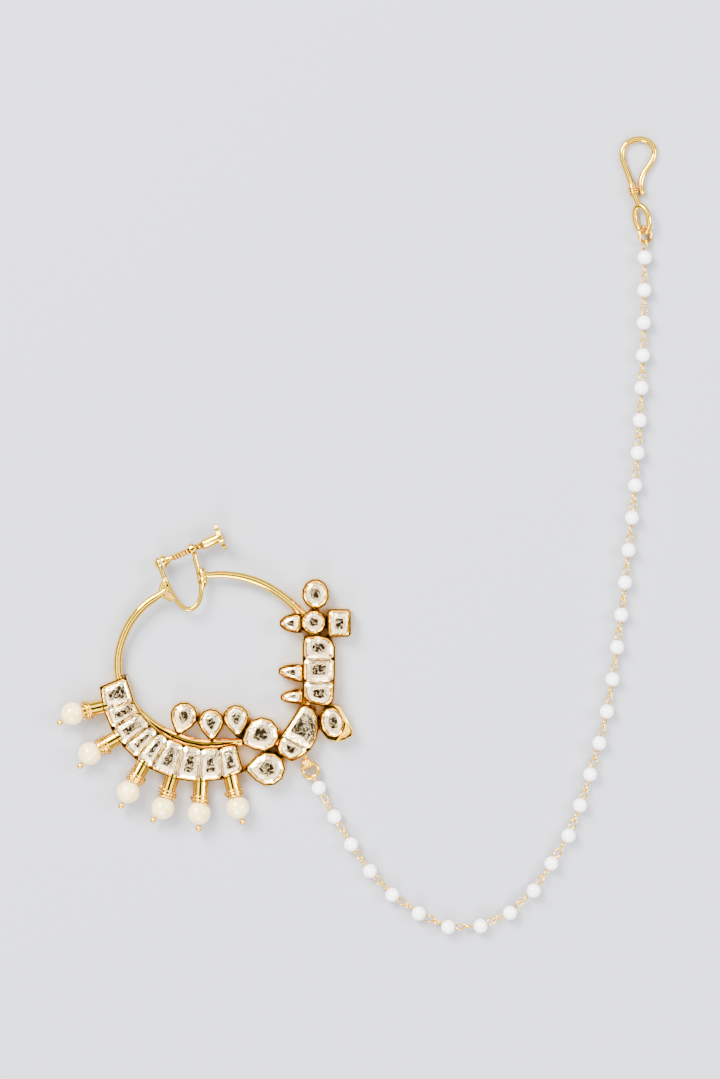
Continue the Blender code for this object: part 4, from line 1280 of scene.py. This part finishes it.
    def build(self, finishes: Finishes) -> None:
        """Builds and dresses every drop."""
        tube = self.tube_pattern()
        pearl = self.pearl_pattern()
        for number, (tube_place, pearl_place) in enumerate(self.places()):
            label = str(number + 1)
            hand_over(copy_of(tube, "drop_tube_" + label, tube_place), finishes.gold,
                      "setting_frame")
            coil = move_into_place(self.wrap(number), tube_place)
            coil.name = "loose_wrap_" + label
            hand_over(coil, finishes.gold, "wire_wrap_" + label)
            hand_over(copy_of(pearl, "drop_pearl_" + label, pearl_place), finishes.cream_pearl,
                      "pearl_" + label)
            pin = self.pin_piece(tube_place, pearl_place)
            pin.name = "ball_pin_" + label
            hand_over(pin, finishes.gold, "head_pin_" + label)
        bin_piece(tube)
        bin_piece(pearl)


@dataclass
class Rings:
    """The loop soldered to the frame and the two cut jump rings."""

    screw: ScrewLine
    chain_start: tuple[float, float] = (1.013, -1.062)
    foot: tuple[float, float] = (0.923, -0.869)
    ring: float = 0.0042
    ring_wire: float = 0.00096
    loop_wire: float = 0.0006
    loop_gap: float = 0.00015
    loop_turns: int = 3
    loop_pitch: float = 0.92
    stem_wire: float = 0.0007
    hook_ring: float = 0.0042
    hook_ring_wire: float = 0.00075
    hook_ring_roll: float = 38.0
    cut: float = 6.0
    # The grains of gold: how many, where they start and how far apart they are, how far they
    # stray, and their radii
    grains: int = 9
    grain_start: float = 0.0004
    grain_step: float = 0.00018
    grain_stray: float = 0.0005
    grain_radii: tuple[float, float] = (0.00028, 0.00042)
    solder_grain: float = 0.00006
    solder_rounds: int = 2

    def cut_ring(self, name: str, size: float, wire: float, cut_at: float) -> bpy.types.Object:
        """A ring of wire whose ends nearly meet.

        Args:
            name: The ring's name.
            size: Its diameter outside.
            wire: Its wire's thickness.
            cut_at: The angle of its cut.

        Returns:
            The ring, flat about the origin.
        """
        bend = (size - wire) / 2
        route = arc(Vector((0, 0, 0)), Vector((bend, 0, 0)), Vector((0, bend, 0)), 48,
                    cut_at + self.cut / 2, 360 - self.cut)
        return draw_wire(name, route, wire / 2, detail=5)

    def frame_loop(self, centre: Vector) -> bpy.types.Object:
        """The upright loop on its stem, with grains of gold soldered round its foot.

        Args:
            centre: The centre of the ring that it holds.

        Returns:
            The loop.
        """
        foot = plan(*self.foot, centre.z)
        out = (foot - centre).normalized()
        side = Vector((-out.y, out.x, 0))
        eye = centre + out * (self.ring - self.ring_wire) / 2
        bend = (self.ring_wire + self.loop_wire) / 2 + self.loop_gap
        pieces = []
        for turn in range(self.loop_turns):
            shift = side * self.loop_wire * self.loop_pitch * (turn - (self.loop_turns - 1) / 2)
            route = arc(eye + shift, out * bend, Vector((0, 0, bend)), 32)
            pieces.append(draw_wire("loop", route, self.loop_wire / 2, closed=True))
        start = eye + out * bend
        pieces.append(draw_wire("stem", [start, foot], self.stem_wire / 2))
        chance = random.Random(7)
        for number in range(self.grains):
            spot = (start + out * (self.grain_start + self.grain_step * number)
                    + side * chance.uniform(-self.grain_stray, self.grain_stray)
                    + Vector((0, 0, chance.uniform(-0.0003, self.grain_stray))))
            put_down()
            bpy.ops.mesh.primitive_ico_sphere_add(subdivisions=2, location=spot,
                                                  radius=chance.uniform(*self.grain_radii))
            pieces.append(added("grain"))
        whole = join(pieces, "frame_loop")
        flow_together(whole, self.solder_grain, self.solder_rounds)
        return whole

    def build(self, finishes: Finishes, hook_centre: Vector, hook_way: Vector) -> None:
        """Builds and dresses the loop and both rings."""
        centre = plan(*self.chain_start, CHAIN_HEIGHT)
        hand_over(self.frame_loop(centre), finishes.worked_gold, "setting_frame")
        first = self.cut_ring("frame_jump_ring", self.ring, self.ring_wire, 200)
        hand_over(move_into_place(first, Matrix.Translation(centre)), finishes.gold, "frame_ring")
        second = self.cut_ring("hook_jump_ring", self.hook_ring, self.hook_ring_wire, 70)
        aim = math.atan2(hook_way.y, hook_way.x)
        move_into_place(second, Matrix.Translation(hook_centre) @ Matrix.Rotation(aim, 4, "Z")
                        @ Matrix.Rotation(math.radians(self.hook_ring_roll), 4, "X"))
        hand_over(second, finishes.gold, "hook_ring")


BEAD = 0.0031
CHAIN_HEIGHT = BEAD / 2 + SURFACE_GAP

# The string from the frame's ring, in metres from there
CHAIN_ROUTE = (
    (0.0000, 0.0000), (0.0019, -0.0039), (0.0055, -0.0105), (0.0090, -0.0163),
    (0.0129, -0.0217), (0.0180, -0.0271), (0.0237, -0.0310), (0.0299, -0.0338),
    (0.0367, -0.0335), (0.0430, -0.0307), (0.0482, -0.0258), (0.0518, -0.0202),
    (0.0556, -0.0141), (0.0602, -0.0011), (0.0636, 0.0114), (0.0660, 0.0261),
    (0.0684, 0.0462), (0.0704, 0.0671), (0.0716, 0.0889), (0.0719, 0.1034), (0.0721, 0.1168),
)


@dataclass
class BeadChain:
    """Thirty white beads joined by pairs of hooked eyes of fine wire."""

    rings: Rings
    count: int = 30
    pitch: float = 0.00701
    end_reach: float = 0.0026
    hook_reach: float = 0.0032
    wire: float = 0.00038
    eye_width: float = 0.0017
    overlap: float = 0.00046
    play: float = 0.0001
    # Each eye's bend: where it starts and how much of a whole turn it leaves out, in radians, how
    # much wider it is near the bead, how far its end lies on its start, and its steps
    bend_start: float = 0.35
    bend_gap: float = 0.55
    flare: float = 0.18
    lap: float = 0.35
    bend_steps: int = 26
    # The eyes' usual roll from level in degrees, and how far each one strays from it
    roll: float = 28.0
    stray: float = 16.0

    def places(self) -> tuple[Vector, list[Vector], Vector]:
        """The centres of the frame's ring, of each bead and of the hook's ring."""
        base = plan(*self.rings.chain_start, CHAIN_HEIGHT)
        route = smooth_route([base + Vector((x, y, 0)) for x, y in CHAIN_ROUTE], BEAD / 2)
        first = self.end_reach + (self.rings.ring - self.rings.ring_wire) / 2
        beads = [along_route(route, first + self.pitch * number) for number in range(self.count)]
        last = (first + self.pitch * (self.count - 1) + self.hook_reach
                + (self.rings.hook_ring - self.rings.hook_ring_wire) / 2)
        return base, beads, along_route(route, last)

    def eye_pattern(self, reach: float) -> bpy.types.Object:
        """Models one eye: wire out of the bead's hole, bent round an oval and closed on itself.

        Args:
            reach: From the bead's centre to the far side of the eye.

        Returns:
            The eye, along X from the bead's centre, flat in XY.
        """
        start = BEAD / 2 - 0.00002
        length = reach - start - self.wire
        bend = (self.eye_width - self.wire) / 2
        route = [Vector((start - 0.0005, 0, 0)), Vector((start, 0, 0))]
        steps = self.bend_steps
        for step in range(steps + 1):
            angle = math.pi + self.bend_start + (2 * math.pi - self.bend_gap) * step / steps
            x = start + self.wire / 2 + length / 2 * (1 + math.cos(angle))
            width = bend * (1.0 - self.flare * math.cos(angle))
            lift = self.wire * self.lap if step > steps - 4 else 0.0
            route.append(Vector((x, width * math.sin(angle), lift)))
        return draw_wire("eye", route, self.wire / 2, detail=2)

    def build(self, finishes: Finishes) -> None:
        """Builds and dresses the beads and the eyes between them."""
        ring, beads, hook_ring = self.places()
        bead = move_into_place(drilled_bead("bead", BEAD, 28, 14), LATHE_TO_X)
        points = [ring] + beads + [hook_ring]
        eye = self.eye_pattern((self.pitch + self.overlap) / 2 + self.wire / 2)
        end_eye, hook_eye = [
            self.eye_pattern(reach + (ring_wire + self.wire) / 2 + self.wire / 2 + self.play)
            for reach, ring_wire in ((self.end_reach, self.rings.ring_wire),
                                     (self.hook_reach, self.rings.hook_ring_wire))]
        bead_copies = []
        eye_copies = []
        chance = random.Random(11)
        for number, centre in enumerate(beads):
            back = points[number] - centre
            ahead = points[number + 2] - centre
            bead_copies.append(copy_of(bead, "bead", facing(centre, ahead - back,
                                                            chance.uniform(0, 360))))
            roll = self.roll + chance.uniform(-self.stray, self.stray)
            behind = (end_eye, 90.0) if number == 0 else (eye, roll + 90)
            before = (eye, -roll)
            if number == self.count - 1:
                before = (hook_eye, self.rings.hook_ring_roll - 90)
            for (pattern, turn), way in ((behind, back), (before, ahead)):
                eye_copies.append(copy_of(pattern, "eye", facing(centre, way, turn)))
        for pattern in (bead, eye, end_eye, hook_eye):
            bin_piece(pattern)
        hand_over(join(bead_copies, "chain_beads"), finishes.white_pearl, "bead_chain")
        hand_over(join(eye_copies, "chain_eyes"), finishes.gold, "bead_chain")


# The hook from its rounded end to its eye, in shares of its reach from the ring, with its lift
# from the surface (0) to the string's height (1)
HOOK_ROUTE = (
    (-0.024, 0.425, 0.25), (-0.041, 0.499, 0.18), (-0.034, 0.574, 0.12), (-0.002, 0.649, 0.07),
    (0.048, 0.719, 0.04), (0.090, 0.794, 0.00), (0.102, 0.868, 0.00), (0.079, 0.935, 0.00),
    (0.026, 0.982, 0.00), (-0.051, 1.000, 0.00), (-0.133, 0.987, 0.00), (-0.201, 0.943, 0.00),
    (-0.240, 0.874, 0.00), (-0.237, 0.794, 0.02), (-0.210, 0.703, 0.08), (-0.173, 0.606, 0.20),
    (-0.144, 0.510, 0.45), (-0.120, 0.419, 0.80),
)


@dataclass
class HairHook:
    """The hook at the chain's end: bent wire with a rounded end, an oval eye and a wrapped tail."""

    rings: Rings
    reach: float = 0.0201
    wire: float = 0.0013
    eye_length: float = 0.0058
    eye_width: float = 0.0033
    eye_lean: float = 13.0
    eye_roll: float = -35.0
    tail_wire: float = 0.0005
    tail_turns: float = 3.2
    # The stretch of the route that the tail is wrapped round, where in it the tail starts, how
    # close it lies to the wire and to its next turn, and its steps
    tail_place: int = 16
    tail_start: float = 0.35
    tail_seat: float = 0.7
    tail_pitch: float = 1.1
    tail_steps: int = 24
    # The rounded end's rows: place along it and radius
    end_rows: tuple[tuple[float, float], ...] = (
        (-0.0007, 0.00015), (-0.0006, 0.00038), (-0.00035, 0.0006), (0.0, 0.00069),
        (0.00035, 0.0006), (0.0006, 0.00038), (0.0007, 0.00015),
    )
    gap: float = 0.00015
    route_step: float = 0.0004

    def point(self, start: Vector, row: tuple[float, float, float]) -> Vector:
        """A point of the hook's route in the frame."""
        low = self.wire / 2 + SURFACE_GAP
        height = low + (CHAIN_HEIGHT - low) * row[2]
        return Vector((start.x + row[0] * self.reach, start.y + row[1] * self.reach, height))

    def build(self, finishes: Finishes, ring_centre: Vector, way: Vector) -> None:
        """Builds and dresses the hook."""
        hang = self.rings.hook_ring / 2 - self.rings.hook_ring_wire - self.wire / 2 - self.gap
        start = ring_centre + way * hang
        lean = Matrix.Rotation(math.radians(self.eye_lean), 3, "Z")
        roll = Matrix.Rotation(math.radians(self.eye_roll), 3, "Y")
        points = [self.point(start, row) for row in HOOK_ROUTE]
        points.append(start + lean @ roll @ Vector((0, self.eye_length, 0)))
        route = smooth_route(points, self.route_step)
        pieces = [draw_wire("shank", route, self.wire / 2, detail=8)]
        end = turn_piece("end", self.end_rows, 20)
        pieces.append(move_into_place(end, Matrix.Translation(points[0])))
        middle = lean @ roll @ Vector((0, self.eye_length / 2, 0))
        oval = arc(start + middle, -middle, lean @ roll @ Vector((self.eye_width / 2, 0, 0)), 40)
        pieces.append(draw_wire("oval", oval, self.wire / 2, closed=True, detail=8))
        low, high = points[self.tail_place:self.tail_place + 2]
        along = (high - low).normalized()
        side = along.cross(Vector((0, 0, 1))).normalized()
        over = side.cross(along)
        count = round(self.tail_steps * self.tail_turns)
        spread = (self.wire + self.tail_wire * self.tail_seat) / 2
        coil = arc(low.lerp(high, self.tail_start), side * spread, over * spread, count,
                   sweep=360 * count / self.tail_steps)
        coil = [point + along * self.tail_wire * self.tail_pitch * step / self.tail_steps
                for step, point in enumerate(coil)]
        pieces.append(draw_wire("tail", coil, self.tail_wire / 2, detail=4))
        hand_over(join(pieces, "hair_hook"), finishes.gold, "hook")


@dataclass
class Studio:
    """A pale card, soft light from the upper left and a camera straight above."""

    lens: float = 120.0
    sensor: float = 36.0
    world_strength: float = 5.6
    lens_shade: float = 21.0
    shade_edge: float = 0.85
    roof: float = 46.0
    roof_edge: float = 0.06
    # The tent's walls and roof, and the dark that the lens looks through
    wall: str = "#5E5A55"
    sky: str = "#F7F8FB"
    hole: str = "#1A1610"
    # The softboxes: name, place, side, power in watts and colour
    softboxes: tuple[tuple[str, tuple[float, float, float], float, float, str], ...] = (
        ("key_softbox", (-0.42, 0.46, 0.62), 0.42, 34.0, "#FFFDF8"),
        ("right_softbox", (0.62, 0.10, 0.50), 0.28, 10.0, "#FBFCFF"),
        ("low_softbox", (-0.10, -0.66, 0.42), 0.28, 10.0, "#FFFFFF"),
    )

    def camera(self) -> None:
        """Sets the camera over the middle of the photograph's frame, looking straight down."""
        height = PICTURE_HEIGHT * PIXEL * self.lens / self.sensor
        data = bpy.data.cameras.new("camera")
        data.sensor_fit = "VERTICAL"
        data.sensor_height = self.sensor
        data.lens = self.lens
        data.clip_start = 0.01
        camera = bpy.data.objects.new("camera", data)
        camera.location = PICTURE_MIDDLE + Vector((0, 0, height))
        bpy.context.scene.collection.objects.link(camera)
        bpy.context.scene.camera = camera

    def floor(self) -> None:
        """Lays the card under the jewel."""
        put_down()
        bpy.ops.mesh.primitive_plane_add(size=3.0, location=(0, 0, -0.00001))
        card = added("card")
        card.data.materials.append(MattBoard().make())

    def lamp(self, name: str, place: Vector, size: float, power: float, code: str) -> None:
        """Hangs a softbox that faces the jewel.

        Args:
            name: The lamp's name.
            place: Where it hangs.
            size: Its side.
            power: Its power in watts.
            code: Its colour.
        """
        data = bpy.data.lights.new(name, "AREA")
        data.size = size
        data.energy = power
        data.color = colour(code)[:3]
        lamp = bpy.data.objects.new(name, data)
        lamp.location = place
        lamp.rotation_euler = (-place).to_track_quat("-Z", "Y").to_euler()
        bpy.context.scene.collection.objects.link(lamp)

    def world(self) -> None:
        """Surrounds it with a pale tent, dark only where the lens looks in."""
        world = bpy.data.worlds.new("tent")
        bpy.context.scene.world = world
        world.use_nodes = True
        tree = world.node_tree
        back = tree.nodes["Background"]
        way = add_node(tree, "ShaderNodeTexCoord").outputs["Generated"]
        parts = add_node(tree, "ShaderNodeSeparateXYZ", {"Vector": way})
        edge = math.cos(math.radians(self.lens_shade))
        soft = math.cos(math.radians(self.lens_shade * self.shade_edge))
        opening = add_node(tree, "ShaderNodeMapRange",
                           {"Value": parts.outputs["Z"], "From Min": edge, "From Max": soft})
        rim = math.cos(math.radians(self.roof))
        high = add_node(tree, "ShaderNodeMapRange",
                        {"Value": parts.outputs["Z"], "From Min": rim - self.roof_edge,
                         "From Max": rim + self.roof_edge})
        tent = add_node(tree, "ShaderNodeMix",
                        {0: high.outputs["Result"], 6: colour(self.wall), 7: colour(self.sky)},
                        data_type="RGBA")
        tone = add_node(tree, "ShaderNodeMix",
                        {0: opening.outputs["Result"], 6: tent.outputs[2],
                         7: colour(self.hole)}, data_type="RGBA")
        set_inputs(tree, back, {"Color": tone.outputs[2], "Strength": self.world_strength})

    def build(self) -> None:
        """Sets up the whole studio."""
        self.camera()
        self.floor()
        for name, place, size, power, code in self.softboxes:
            self.lamp(name, Vector(place), size, power, code)
        self.world()


def main() -> None:
    """Builds the studio and then the jewel, piece by piece."""
    logging.basicConfig(level=logging.INFO, format="%(name)s: %(message)s")
    Studio().build()
    finishes = Finishes()
    screw = ScrewLine()
    rings = Rings(screw)
    chain = BeadChain(rings)
    _, beads, hook_centre = chain.places()
    hook_way = (hook_centre - beads[-1]).normalized()
    HoopAndClip(screw).build(finishes)
    ThumbScrew(screw).build(finishes)
    Trays().build(finishes)
    Stones().build(finishes)
    PearlDrops().build(finishes)
    rings.build(finishes, hook_centre, hook_way)
    chain.build(finishes)
    HairHook(rings).build(finishes, hook_centre, hook_way)


if __name__ == "__main__":
    main()
